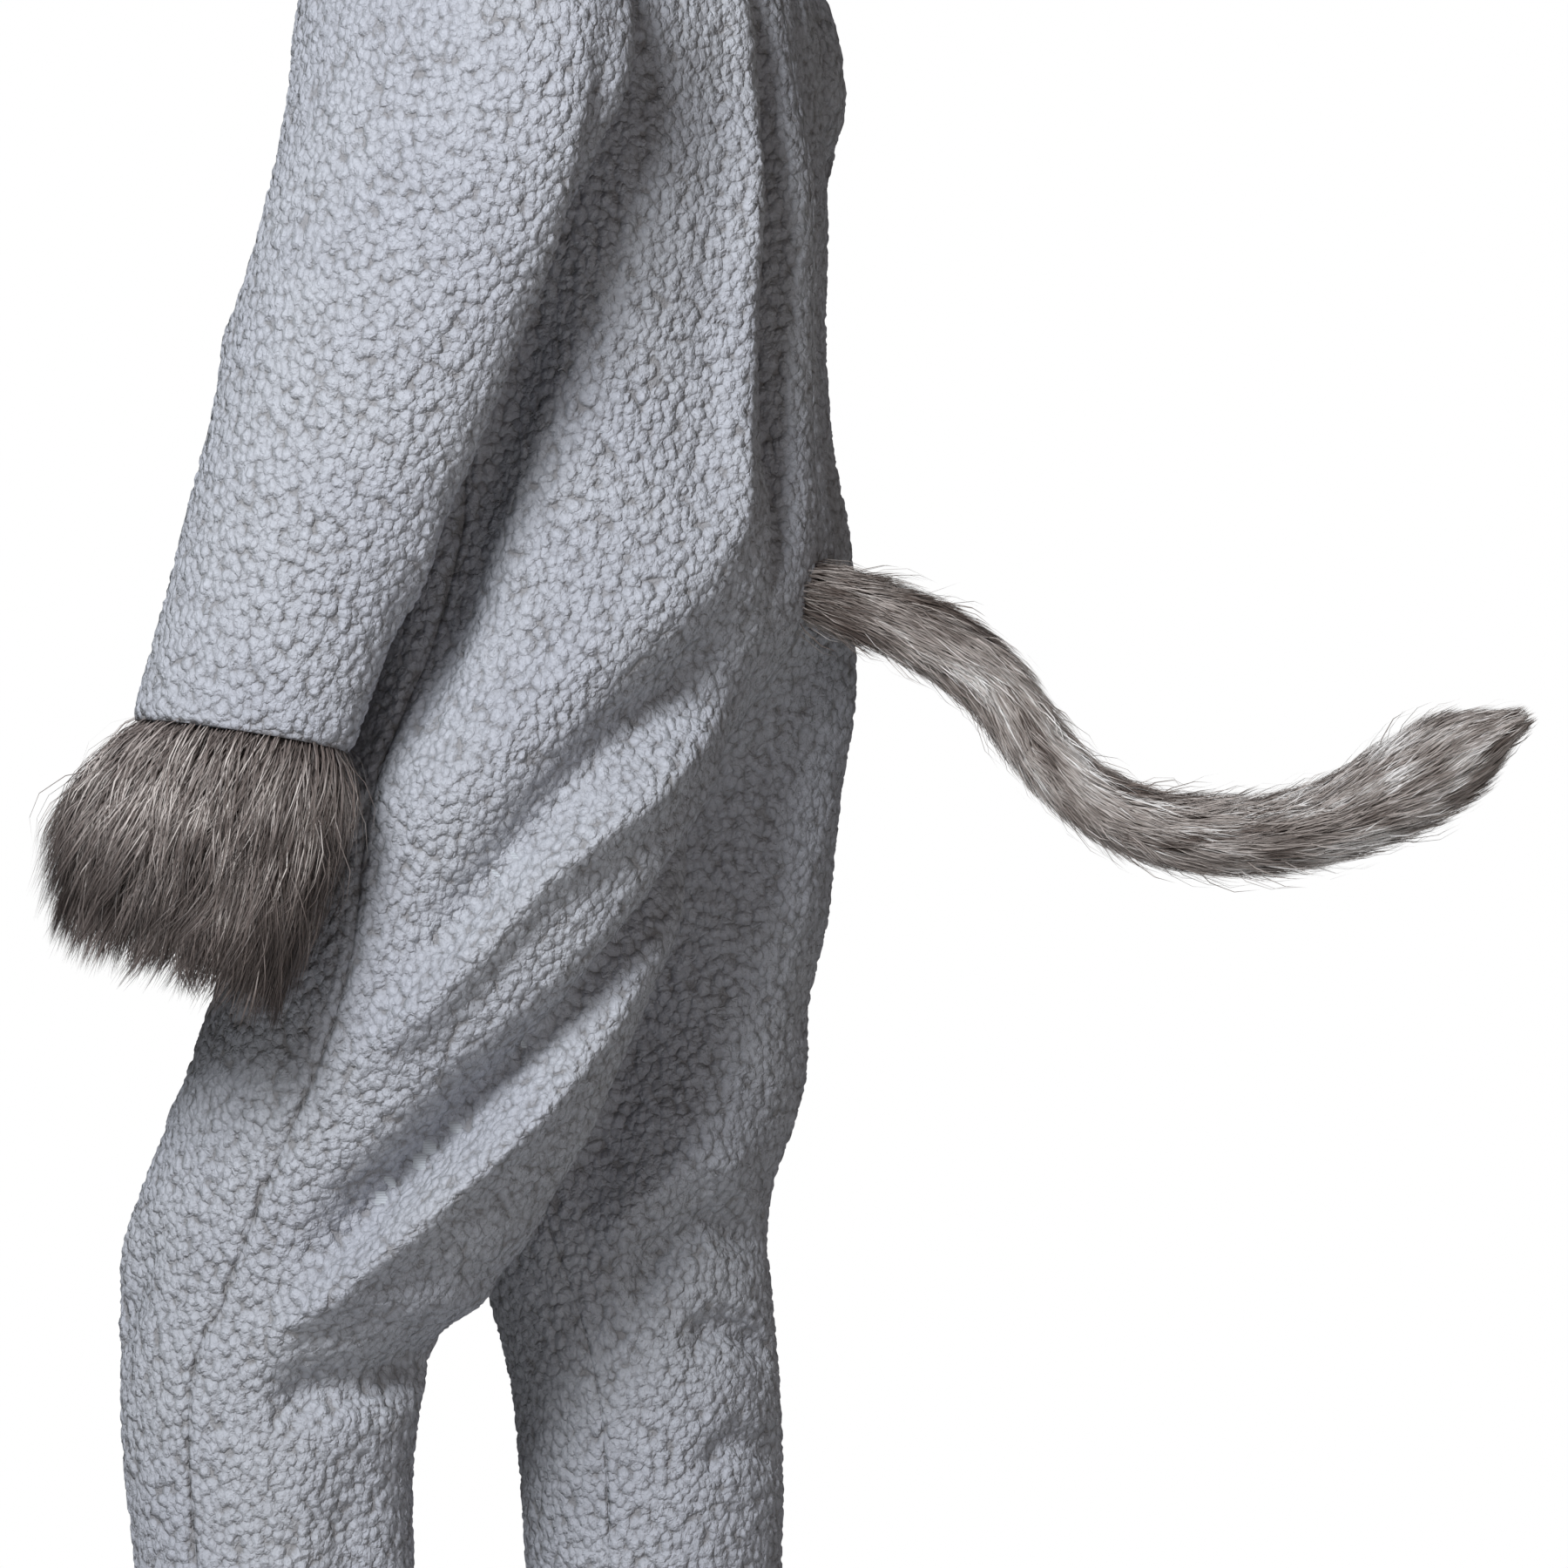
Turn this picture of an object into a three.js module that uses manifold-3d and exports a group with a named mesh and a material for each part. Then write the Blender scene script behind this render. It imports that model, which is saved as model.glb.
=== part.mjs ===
import * as THREE from 'three';
import Module from 'manifold-3d';

const wasm = await Module();
wasm.setup();

// A child's one-piece plush wolf costume, size 140, in the pose in which it is worn.
// Millimetres. +Z is up, the wearer faces -Y, the wearer's left is +X.
// The origin is on the neck opening's plane, between the two shoulder seams.

const pileDepth = 6;
const seamGap = 0.3;
const crotchInset = 1.5;
const crotchReach = 18;
const crotchZ = -657;
const crotchY = -27;
const chestZ = -150;
const underarmZ = -184;
const underarmBlend = 90;
const panelColumns = { front: 10, back: 13 };
const columnsUnderSleeve = { front: 3, back: 4 };
const yokeRows = 6;
const shoulderColumns = 3;
const skinRows = [-150, -176, -204, -234, -265, -296, -325, -351, -375, -397, -418, -438, -458, -476, -493, -510,
  -527, -544, -561, -578, -595, -611, -627, -642, -657, -671, -685, -699, -712, -724, -735, -745, -754, -765, -779,
  -797, -821, -852, -892, -942, -1002, -1060, -1109];

// Each half of the body is a loop round one leg; above the crotch it is cut off by the centre plane.
const leftSections = [
  { z: -150, out: 0, mid: 8, halfWidth: 128, halfDepth: 99, square: 0.1, seam: -6 },
  { z: -212, out: 0, mid: 8, halfWidth: 130, halfDepth: 107, square: 0.09, seam: -6 },
  { z: -276, out: 0, mid: 8, halfWidth: 131, halfDepth: 107, square: 0.08, seam: -8 },
  { z: -327, out: 0, mid: 8, halfWidth: 133, halfDepth: 111, square: 0.06, seam: -10 },
  { z: -369, out: 0, mid: 11, halfWidth: 138, halfDepth: 116, square: 0.04, seam: -13 },
  { z: -399, out: 2, mid: 9, halfWidth: 142, halfDepth: 116, square: 0.02, seam: -15 },
  { z: -450, out: 22, mid: -5, halfWidth: 133, halfDepth: 107, square: 0, seam: -17 },
  { z: -488, out: 48, mid: -13, halfWidth: 115, halfDepth: 110, square: 0, seam: -18 },
  { z: -520, out: 62, mid: -22, halfWidth: 102, halfDepth: 110, square: 0, seam: -16 },
  { z: -555, out: 70, mid: -34, halfWidth: 94, halfDepth: 110, square: 0, seam: -11 },
  { z: -595, out: 76, mid: -52, halfWidth: 87, halfDepth: 110, square: 0, seam: -6 },
  { z: -629, out: 78, mid: -66, halfWidth: 82, halfDepth: 110, square: 0, seam: -6 },
  { z: -657, out: 78, mid: -79, halfWidth: 78, halfDepth: 110, square: 0, seam: -7 },
  { z: -688, out: 78, mid: -95, halfWidth: 75, halfDepth: 107, square: 0, seam: -7 },
  { z: -710, out: 78, mid: -105, halfWidth: 72, halfDepth: 104, square: 0, seam: -7 },
  { z: -727, out: 78, mid: -113, halfWidth: 70, halfDepth: 97, square: 0, seam: -8 },
  { z: -741, out: 78, mid: -117, halfWidth: 68, halfDepth: 92, square: 0, seam: -9 },
  { z: -751, out: 78, mid: -125, halfWidth: 67, halfDepth: 84, square: 0, seam: -10 },
  { z: -764, out: 78, mid: -129, halfWidth: 67, halfDepth: 78, square: 0, seam: -12 },
  { z: -780, out: 78, mid: -131, halfWidth: 66, halfDepth: 76, square: 0, seam: -14 },
  { z: -807, out: 78, mid: -133, halfWidth: 65, halfDepth: 73, square: 0, seam: -14 },
  { z: -871, out: 78, mid: -130, halfWidth: 63, halfDepth: 69, square: 0, seam: -14 },
  { z: -1109, out: 78, mid: -122, halfWidth: 61, halfDepth: 67, square: 0, seam: -10 },
];
const rightSections = [
  { z: -150, out: 0, mid: 8, halfWidth: 128, halfDepth: 99, square: 0.1, seam: -6 },
  { z: -212, out: 0, mid: 6, halfWidth: 130, halfDepth: 105, square: 0.09, seam: -6 },
  { z: -276, out: 0, mid: 6, halfWidth: 131, halfDepth: 105, square: 0.08, seam: -7 },
  { z: -327, out: 0, mid: 7, halfWidth: 133, halfDepth: 110, square: 0.06, seam: -8 },
  { z: -369, out: 0, mid: 11, halfWidth: 138, halfDepth: 116, square: 0.04, seam: -8 },
  { z: -399, out: 2, mid: 12, halfWidth: 142, halfDepth: 117, square: 0.02, seam: -8 },
  { z: -450, out: 22, mid: 9, halfWidth: 133, halfDepth: 116, square: 0, seam: -8 },
  { z: -488, out: 48, mid: 3, halfWidth: 115, halfDepth: 108, square: 0, seam: -8 },
  { z: -520, out: 62, mid: -7, halfWidth: 102, halfDepth: 111, square: 0, seam: -8 },
  { z: -555, out: 70, mid: -14, halfWidth: 94, halfDepth: 112, square: 0, seam: -8 },
  { z: -600, out: 76, mid: -17, halfWidth: 87, halfDepth: 103, square: 0, seam: -8 },
  { z: -629, out: 78, mid: -12, halfWidth: 82, halfDepth: 97, square: 0, seam: -8 },
  { z: -657, out: 78, mid: -10, halfWidth: 78, halfDepth: 88, square: 0, seam: -8 },
  { z: -683, out: 78, mid: -10, halfWidth: 74, halfDepth: 78, square: 0, seam: -8 },
  { z: -710, out: 78, mid: -8, halfWidth: 70, halfDepth: 72, square: 0, seam: -8 },
  { z: -741, out: 78, mid: -3, halfWidth: 66, halfDepth: 70, square: 0, seam: -8 },
  { z: -786, out: 78, mid: 4, halfWidth: 64, halfDepth: 67, square: 0, seam: -8 },
  { z: -829, out: 78, mid: 7, halfWidth: 63, halfDepth: 66, square: 0, seam: -8 },
  { z: -871, out: 78, mid: 8, halfWidth: 62, halfDepth: 64, square: 0, seam: -8 },
  { z: -1109, out: 78, mid: 8, halfWidth: 60, halfDepth: 62, square: 0, seam: -8 },
];

// Where the centre front and centre back seams run, and how far round the loop they pull the cloth.
const centreSeams = [
  { z: -58, front: -62, back: 84, spread: 0.1 },
  { z: -106, front: -84, back: 104, spread: 0.1 },
  { z: -150, front: -91, back: 112, spread: 0.1 },
  { z: -212, front: -99, back: 121, spread: 0.09 },
  { z: -276, front: -99, back: 121, spread: 0.09 },
  { z: -327, front: -103, back: 122, spread: 0.1 },
  { z: -369, front: -105, back: 124, spread: 0.12 },
  { z: -399, front: -106, back: 123, spread: 0.16 },
  { z: -456, front: -107, back: 103, spread: 0.2 },
  { z: -488, front: -107, back: 88, spread: 0.22 },
  { z: -520, front: -106, back: 69, spread: 0.22 },
  { z: -555, front: -104, back: 45, spread: 0.2 },
  { z: -600, front: -92, back: 11, spread: 0.17 },
  { z: -630, front: -72, back: -10, spread: 0.16 },
  { z: -648, front: -47, back: -22, spread: 0.16 },
  { z: -657, front: -27, back: -27, spread: 0.16 },
];

// Folds: each runs along its path; angle is degrees round the loop from the outer side (front is minus).
const leftFolds = [
  { lift: -11, width: 15, path: [[60, -400], [57, -443], [35, -488], [19, -543], [9, -576]] },
  { lift: 12, width: 14, path: [[79, -447], [55, -501], [35, -538], [21, -596], [5, -630]] },
  { lift: -20, width: 17, path: [[96, -470], [88, -518], [79, -547], [58, -605], [33, -637], [15, -690], [9, -728]] },
  { lift: 12, width: 18, path: [[98, -514], [80, -576], [66, -614], [48, -664], [28, -726], [8, -766]] },
  { lift: -10, width: 12, path: [[110, -760], [65, -770], [38, -772], [14, -783]] },
  { lift: 11, width: 11, path: [[71, -106], [63, -175], [60, -238], [59, -292], [56, -350], [50, -395]] },
  { lift: -12, width: 10, path: [[85, -106], [80, -173], [78, -236], [77, -299], [76, -346], [72, -405]] },
  { lift: 8, width: 24, path: [[55, -347], [41, -405], [26, -447], [5, -488], [-5, -530]] },
  { lift: -10, width: 16, path: [[20, -215], [4, -301], [-8, -364], [-11, -426], [-8, -478]] },
  { lift: -5, width: 14, path: [[-38, -700], [-50, -740], [-62, -765]] },
  { lift: 4, width: 14, path: [[-120, -690], [-100, -740], [-80, -760]] },
];
const rightFolds = [
  { lift: -8, width: 10, path: [[81, -106], [78, -234], [75, -320], [72, -400]] },
  { lift: -9, width: 11, path: [[84, -716], [121, -702], [143, -718], [160, -744]] },
  { lift: 9, width: 13, path: [[100, -681], [132, -672], [149, -693], [168, -723]] },
  { lift: -8, width: 11, path: [[84, -772], [117, -753], [143, -761]] },
  { lift: -11, width: 17, path: [[130, -520], [135, -552], [140, -608], [160, -659], [176, -700]] },
  { lift: -6, width: 11, path: [[75, -824], [118, -808], [140, -825]] },
  { lift: -6, width: 14, path: [[40, -560], [10, -610], [-20, -640]] },
  { lift: 6, width: 16, path: [[50, -590], [20, -640], [-16, -672]] },
];
const millimetresPerDegree = 1.8;
const frontSpread = 0.4;
const centreClearance = 1.2;

// The upper half of each armhole, from the chest line to the shoulder tip, as height goes from 0 to 1.
const armholeFront = [
  { q: 0, x: 118, y: -47, z: -150 },
  { q: 0.3, x: 123, y: -56, z: -118 },
  { q: 0.6, x: 130, y: -48, z: -78 },
  { q: 0.82, x: 135, y: -27, z: -51 },
  { q: 1, x: 138, y: 4, z: -38 },
];
const armholeBack = [
  { q: 0, x: 123, y: 48, z: -150 },
  { q: 0.3, x: 126, y: 58, z: -118 },
  { q: 0.6, x: 131, y: 53, z: -78 },
  { q: 0.82, x: 135, y: 34, z: -51 },
  { q: 1, x: 138, y: 4, z: -38 },
];
const sideNeck = { x: 70, y: 4, z: 0 };
const backNeck = { y: 66, z: -14 };
const frontNeck = { y: -62, z: -58 };

// Sleeve: the line over its top, the line under it, and half its width from front to back.
const sleeveSections = [
  { q: 0, topX: 138, topY: 4, topZ: -38, underX: 127, underY: -3, underZ: -184, half: 58 },
  { q: 0.06, topX: 160, topY: 3, topZ: -44, underX: 130, underY: 0, underZ: -189, half: 76 },
  { q: 0.12, topX: 185, topY: 2, topZ: -64, underX: 134, underY: 0, underZ: -197, half: 89 },
  { q: 0.2, topX: 205, topY: -3, topZ: -104, underX: 137, underY: -3, underZ: -210, half: 88 },
  { q: 0.32, topX: 216, topY: -13, topZ: -163, underX: 139, underY: -11, underZ: -232, half: 83 },
  { q: 0.45, topX: 222, topY: -28, topZ: -225, underX: 141, underY: -26, underZ: -268, half: 76 },
  { q: 0.6, topX: 227, topY: -46, topZ: -290, underX: 145, underY: -44, underZ: -318, half: 70 },
  { q: 0.74, topX: 230, topY: -65, topZ: -350, underX: 150, underY: -63, underZ: -368, half: 63 },
  { q: 0.87, topX: 232, topY: -82, topZ: -405, underX: 155, underY: -80, underZ: -418, half: 58 },
  { q: 1, topX: 234, topY: -97, topZ: -455, underX: 160, underY: -95, underZ: -465, half: 56 },
];
const sleeveRows = 13;
const rightArmBack = 13;
const sleeveFolds = [
  { lift: -5, width: 16, path: [[70, 0.42], [110, 0.5], [150, 0.54]] },
  { lift: 4, width: 18, path: [[60, 0.56], [100, 0.62], [150, 0.64]] },
  { lift: -5, width: 15, path: [[-60, 0.1], [-95, 0.2], [-120, 0.34]] },
  { lift: 4, width: 16, path: [[-70, 0.7], [-110, 0.78], [-150, 0.82]] },
];
const sleeveLength = 400;

// Fur cuff, from the sleeve's end to the reach of the hair; the wall grows as the hair stands off.
const cuffSections = [
  { along: 0, front: 56, back: 56, wide: 37, wall: 6 },
  { along: 13, front: 72, back: 62, wide: 45, wall: 11 },
  { along: 36, front: 86, back: 68, wide: 53, wall: 16 },
  { along: 66, front: 88, back: 76, wide: 58, wall: 19 },
  { along: 92, front: 80, back: 80, wide: 58, wall: 19 },
  { along: 114, front: 66, back: 75, wide: 53, wall: 15 },
  { along: 132, front: 48, back: 62, wide: 43, wall: 9 },
];

// Tail: its middle line from the seat seam to the tip, and its radius.
const tailSections = [
  { q: 0, y: 108, z: -392, radius: 14 },
  { q: 0.05, y: 128, z: -398, radius: 15.5 },
  { q: 0.1, y: 150, z: -405, radius: 18 },
  { q: 0.18, y: 180, z: -418, radius: 20 },
  { q: 0.27, y: 212, z: -441, radius: 19 },
  { q: 0.36, y: 233, z: -472, radius: 17.5 },
  { q: 0.44, y: 256, z: -494, radius: 18 },
  { q: 0.53, y: 290, z: -510, radius: 20 },
  { q: 0.63, y: 338, z: -514, radius: 20.5 },
  { q: 0.72, y: 375, z: -508, radius: 21.5 },
  { q: 0.81, y: 407, z: -495, radius: 24 },
  { q: 0.88, y: 432, z: -482, radius: 25.5 },
  { q: 0.95, y: 456, z: -468, radius: 20 },
  { q: 1, y: 480, z: -457, radius: 7 },
];
const tailRows = 26;
const tailSides = 14;
const tailSway = 10;

// Front zip.
const zipBottomRow = 9;
const zipOpening = 6.15;
const tapeThickness = 1;
const chainHalf = 3;
const chainDepth = 2.4;
const sliderLength = 11;
const sliderHalf = 4.4;
const sliderDrop = 16;
const pullLength = 24;
const pullHalf = 3.6;
const pullThickness = 1.5;
const pinHeight = 4.2;
const lugHole = 1.25;

const clamp = (value, low, high) => Math.min(high, Math.max(low, value));
const lerp = (a, b, share) => a + (b - a) * share;
const smooth = (value) => {
  const v = clamp(value, 0, 1);
  return v * v * (3 - 2 * v);
};

// Reads a table of named columns at a value of its first column, with smooth slopes through the rows.
function sample(table, at) {
  const keys = Object.keys(table[0]);
  const first = keys[0];
  const sign = table[1][first] > table[0][first] ? 1 : -1;
  let i = 0;
  while (i < table.length - 2 && sign * at > sign * table[i + 1][first]) {
    i += 1;
  }
  const row = {};
  const gap = (k) => table[k + 1][first] - table[k][first];
  const share = clamp((at - table[i][first]) / gap(i), 0, 1);
  for (const key of keys) {
    const slope = (k) => (table[k + 1][key] - table[k][key]) / gap(k);
    const rowSlope = (k) => {
      if (k === 0) {
        return slope(0);
      }
      if (k === table.length - 1) {
        return slope(k - 1);
      }
      return (slope(k - 1) * gap(k) + slope(k) * gap(k - 1)) / (gap(k) + gap(k - 1));
    };
    const s2 = share * share;
    const s3 = s2 * share;
    row[key] = table[i][key] * (2 * s3 - 3 * s2 + 1) + table[i + 1][key] * (3 * s2 - 2 * s3)
      + rowSlope(i) * gap(i) * (s3 - 2 * s2 + share) + rowSlope(i + 1) * gap(i) * (s3 - s2);
  }
  return row;
}

// Height of the folds at an angle and a distance along, measured from each fold's path.
function foldHeight(folds, angle, along, perDegree, perAlong) {
  let height = 0;
  for (const fold of folds) {
    let nearest = Infinity;
    let place = 0;
    const spans = fold.path.length - 1;
    for (let i = 0; i < spans; i += 1) {
      const [a0, b0] = fold.path[i];
      const [a1, b1] = fold.path[i + 1];
      const dx = (a1 - a0) * perDegree;
      const dy = (b1 - b0) * perAlong;
      const px = (angle - a0) * perDegree;
      const py = (along - b0) * perAlong;
      const share = clamp((px * dx + py * dy) / (dx * dx + dy * dy), 0, 1);
      const distance = Math.hypot(px - share * dx, py - share * dy);
      if (distance < nearest) {
        nearest = distance;
        place = (i + share) / spans;
      }
    }
    const taper = smooth(place / 0.3 + 0.15) * smooth((1 - place) / 0.3 + 0.15);
    height += fold.lift * taper * Math.exp(-((nearest / fold.width) ** 2));
  }
  return height;
}

// A point of the body's outer face: turn runs 0 at the centre front, 0.5 at the side seam, 1 at the centre back.
function bodyPoint(side, turn, z) {
  const table = side > 0 ? leftSections : rightSections;
  const s = sample(table, z);
  const seams = sample(centreSeams, z);
  const joined = z >= crotchZ;
  const end = joined ? Math.acos(clamp(-s.out / s.halfWidth, -1, 1)) : Math.PI;
  const seam = THREE.MathUtils.degToRad(s.seam);
  const phi = turn < 0.5 ? lerp(-end, seam, turn * 2) : lerp(seam, end, turn * 2 - 1);
  const ring = (angle) => {
    const swell = 1 + s.square * Math.sin(2 * angle) ** 2;
    return [s.out + s.halfWidth * Math.cos(angle) * swell, s.mid + s.halfDepth * Math.sin(angle) * swell];
  };
  let [x, y] = ring(phi);
  const front = turn < 0.5;
  const [endX, endY] = ring(front ? -end : end);
  const innerMid = sample(table, crotchZ).mid;
  const settle = Math.exp(-(((crotchZ - z) / 80) ** 2));
  const seamY = front ? seams.front : seams.back;
  const targetX = joined ? 0 : Math.max(endX, centreClearance);
  const targetY = joined ? seamY : s.mid + (crotchY - innerMid) * settle;
  const spread = front ? frontSpread : seams.spread;
  const near = clamp((front ? turn : 1 - turn) / spread, 0, 1);
  const pull = (1 - near) ** 2 * (1 + 2 * near);
  x += (targetX - endX) * pull;
  y += (targetY - endY) * pull;
  const angle = THREE.MathUtils.radToDeg(phi);
  const fade = smooth(Math.min(turn, 1 - turn) / 0.07);
  const folds = side > 0 ? leftFolds : rightFolds;
  const lift = foldHeight(folds, angle, z, millimetresPerDegree, 1) * fade;
  const nx = Math.cos(phi) / s.halfWidth;
  const ny = Math.sin(phi) / s.halfDepth;
  const size = Math.hypot(nx, ny);
  const onSeam = joined && (turn === 0 || turn === 1);
  x = Math.max(x + lift * nx / size, onSeam ? 0 : centreClearance);
  y += lift * ny / size;
  return new THREE.Vector3(side * x, y, z);
}

// The height at which a panel's column leaves the chest line or meets the armhole.
function columnTop(share) {
  return chestZ + (underarmZ - chestZ) * (1 - share ** 1.5);
}

function panelTurn(half, column) {
  const share = column / panelColumns[half] * 0.5;
  return half === 'front' ? share : 1 - share;
}

function yokeColumns(half) {
  return panelColumns[half] - columnsUnderSleeve[half];
}

function skinPoint(side, half, row, column) {
  const level = skinRows[row];
  const over = clamp((panelColumns[half] - column) / columnsUnderSleeve[half], 0, 1);
  const drop = column > yokeColumns(half) ? columnTop(over) - chestZ : 0;
  const fade = clamp(1 - (chestZ - level) / underarmBlend, 0, 1) ** 2;
  return bodyPoint(side, panelTurn(half, column), level + drop * fade);
}

// The neck opening's edge and the shoulder seam, from the centre to the shoulder tip.
function topEdge(side, half, share) {
  const neck = half === 'front' ? frontNeck : backNeck;
  const neckShare = 1 - shoulderColumns / yokeColumns(half);
  if (share < neckShare) {
    const angle = share / neckShare * Math.PI / 2;
    const y = sideNeck.y + (neck.y - sideNeck.y) * Math.cos(angle);
    const z = sideNeck.z + (neck.z - sideNeck.z) * Math.cos(angle) ** 1.4;
    return new THREE.Vector3(side * sideNeck.x * Math.sin(angle), y, z);
  }
  const along = (share - neckShare) / (1 - neckShare);
  const tip = armholeFront[armholeFront.length - 1];
  const rise = 3 * Math.sin(along * Math.PI);
  return new THREE.Vector3(side * lerp(sideNeck.x, tip.x, along), lerp(sideNeck.y, tip.y, along),
    lerp(sideNeck.z, tip.z, along) + rise);
}

function centrePoint(half, z) {
  return new THREE.Vector3(0, sample(centreSeams, z)[half], z);
}

// The yoke between the chest line, the centre seam, the armhole and the neck and shoulder.
function yokePoint(side, half, row, column) {
  const columns = yokeColumns(half);
  const up = row / yokeRows;
  const across = column / columns;
  const neck = half === 'front' ? frontNeck : backNeck;
  const edge = sample(half === 'front' ? armholeFront : armholeBack, up);
  const centreZ = lerp(chestZ, neck.z, up);
  const atCentre = (z) => {
    const point = centrePoint(half, Math.min(z, -58));
    const over = clamp((z + 58) / (neck.z + 58 || 1), 0, 1);
    point.y = z > -58 ? lerp(point.y, neck.y, over) : point.y;
    point.z = z;
    return point;
  };
  const corner = bodyPoint(side, panelTurn(half, columns), chestZ);
  const start = half === 'front' ? armholeFront[0] : armholeBack[0];
  const settle = 1 - up;
  const hem = new THREE.Vector3(side * edge.x, edge.y, edge.z);
  hem.x += (corner.x - side * start.x) * settle;
  hem.y += (corner.y - start.y) * settle;
  const centre = atCentre(centreZ);
  const low = bodyPoint(side, panelTurn(half, column), chestZ);
  const lowCentre = atCentre(chestZ);
  const high = topEdge(side, half, across);
  const highCentre = topEdge(side, half, 0);
  const highEdge = topEdge(side, half, 1);
  const weight = smooth(up);
  const from = (base, baseCentre, baseEdge) => base.clone()
    .addScaledVector(centre.clone().sub(baseCentre), 1 - across)
    .addScaledVector(hem.clone().sub(baseEdge), across);
  return from(low, lowCentre, corner).lerp(from(high, highCentre, highEdge), weight);
}

// Sleeve: rings that start on the armhole and settle to the arm's sections.
function sleeveFrame(side, q) {
  const s = sample(sleeveSections, q);
  const back = side < 0 ? rightArmBack * q : 0;
  const top = new THREE.Vector3(side * s.topX, s.topY + back, s.topZ);
  const under = new THREE.Vector3(side * s.underX, s.underY + back, s.underZ);
  const centre = top.clone().add(under).multiplyScalar(0.5);
  return { centre, up: top.sub(under).multiplyScalar(0.5), half: s.half };
}

function sleeveAxes(side, q) {
  const frame = sleeveFrame(side, q);
  const step = 0.02;
  const before = sleeveFrame(side, Math.max(0, q - step)).centre;
  const after = sleeveFrame(side, Math.min(1, q + step)).centre;
  const along = after.sub(before).normalize();
  const front = new THREE.Vector3().crossVectors(along, frame.up).normalize();
  if (front.y > 0) {
    front.negate();
  }
  return { ...frame, along, front };
}

function sleeveRing(side, q, angle) {
  const { centre, up, half, front } = sleeveAxes(side, q);
  const lift = foldHeight(sleeveFolds, THREE.MathUtils.radToDeg(angle), q, 1.1, sleeveLength) * smooth(q / 0.08);
  const grow = 1 + lift / half;
  return centre.clone().addScaledVector(up, Math.cos(angle) * grow).addScaledVector(front, half * Math.sin(angle) * grow);
}

// The armhole's points from the underarm up the front, over the tip and down the back.
function armholeLoop(side) {
  const halfLoop = (half) => {
    const points = [];
    for (let column = panelColumns[half]; column > yokeColumns(half); column -= 1) {
      points.push(skinPoint(side, half, 0, column));
    }
    for (let row = 0; row <= yokeRows; row += 1) {
      points.push(yokePoint(side, half, row, yokeColumns(half)));
    }
    return points;
  };
  const front = halfLoop('front');
  const back = halfLoop('back').slice(1, -1).reverse();
  return { points: [...front, ...back], tip: front.length - 1 };
}

function armholeAngles({ points, tip }) {
  const count = points.length;
  const angles = new Array(count);
  for (const [direction, steps] of [[1, tip], [-1, count - tip]]) {
    const at = (i) => (direction * i + count) % count;
    const lengths = [0];
    for (let i = 1; i <= steps; i += 1) {
      lengths.push(lengths[i - 1] + points[at(i)].distanceTo(points[at(i - 1)]));
    }
    for (let i = 0; i <= steps; i += 1) {
      angles[at(i)] = direction * Math.PI * (1 - lengths[i] / lengths[steps]);
    }
  }
  return angles;
}

function sleevePoint(side, loop, angles, row, k) {
  const q = (row / sleeveRows) ** 1.25;
  const ring = sleeveRing(side, q, angles[k]);
  const settle = 1 - smooth(q / 0.2);
  if (settle === 0) {
    return ring;
  }
  return ring.addScaledVector(loop[k].clone().sub(sleeveRing(side, 0, angles[k])), settle);
}

function cuffPoint(side, loop, angles, row, k) {
  const end = sleevePoint(side, loop, angles, sleeveRows, k);
  if (row === 0) {
    return end;
  }
  const s = cuffSections[row];
  const { centre, up, along, front } = sleeveAxes(side, 1);
  const reach = Math.sin(angles[k]) > 0 ? s.front : s.back;
  return centre.clone()
    .addScaledVector(along, s.along)
    .addScaledVector(front, reach * Math.sin(angles[k]))
    .addScaledVector(up.clone().normalize(), s.wide * Math.cos(angles[k]));
}

// A sheet is a set of outer-face points with a wall depth each, and the triangles between them.
function newSheet(side) {
  return { side, points: [], walls: [], triangles: [], index: new Map(), nextToCentre: new Map() };
}

const keyOf = (point) => `${Math.round(point.x * 1000)},${Math.round(point.y * 1000)},${Math.round(point.z * 1000)}`;

function addPoint(sheet, point, wall) {
  const key = keyOf(point);
  if (!sheet.index.has(key)) {
    sheet.index.set(key, sheet.points.length);
    sheet.points.push(point);
    sheet.walls.push(wall);
  }
  return sheet.index.get(key);
}

function addGrid(sheet, rows, columns, pointAt, wallAt, flip) {
  const grid = [];
  for (let r = 0; r <= rows; r += 1) {
    grid.push([]);
    for (let c = 0; c <= columns; c += 1) {
      grid[r].push(addPoint(sheet, pointAt(r, c), wallAt(r)));
    }
    sheet.nextToCentre.set(grid[r][0], grid[r][1]);
  }
  for (let r = 0; r < rows; r += 1) {
    for (let c = 0; c < columns; c += 1) {
      const [a, b, d, e] = [grid[r][c], grid[r][c + 1], grid[r + 1][c], grid[r + 1][c + 1]];
      const pairs = [[a, b, e], [a, e, d]];
      for (const [i, j, k] of pairs) {
        if (i !== j && j !== k && i !== k) {
          sheet.triangles.push(flip ? [i, k, j] : [i, j, k]);
        }
      }
    }
  }
}

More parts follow.
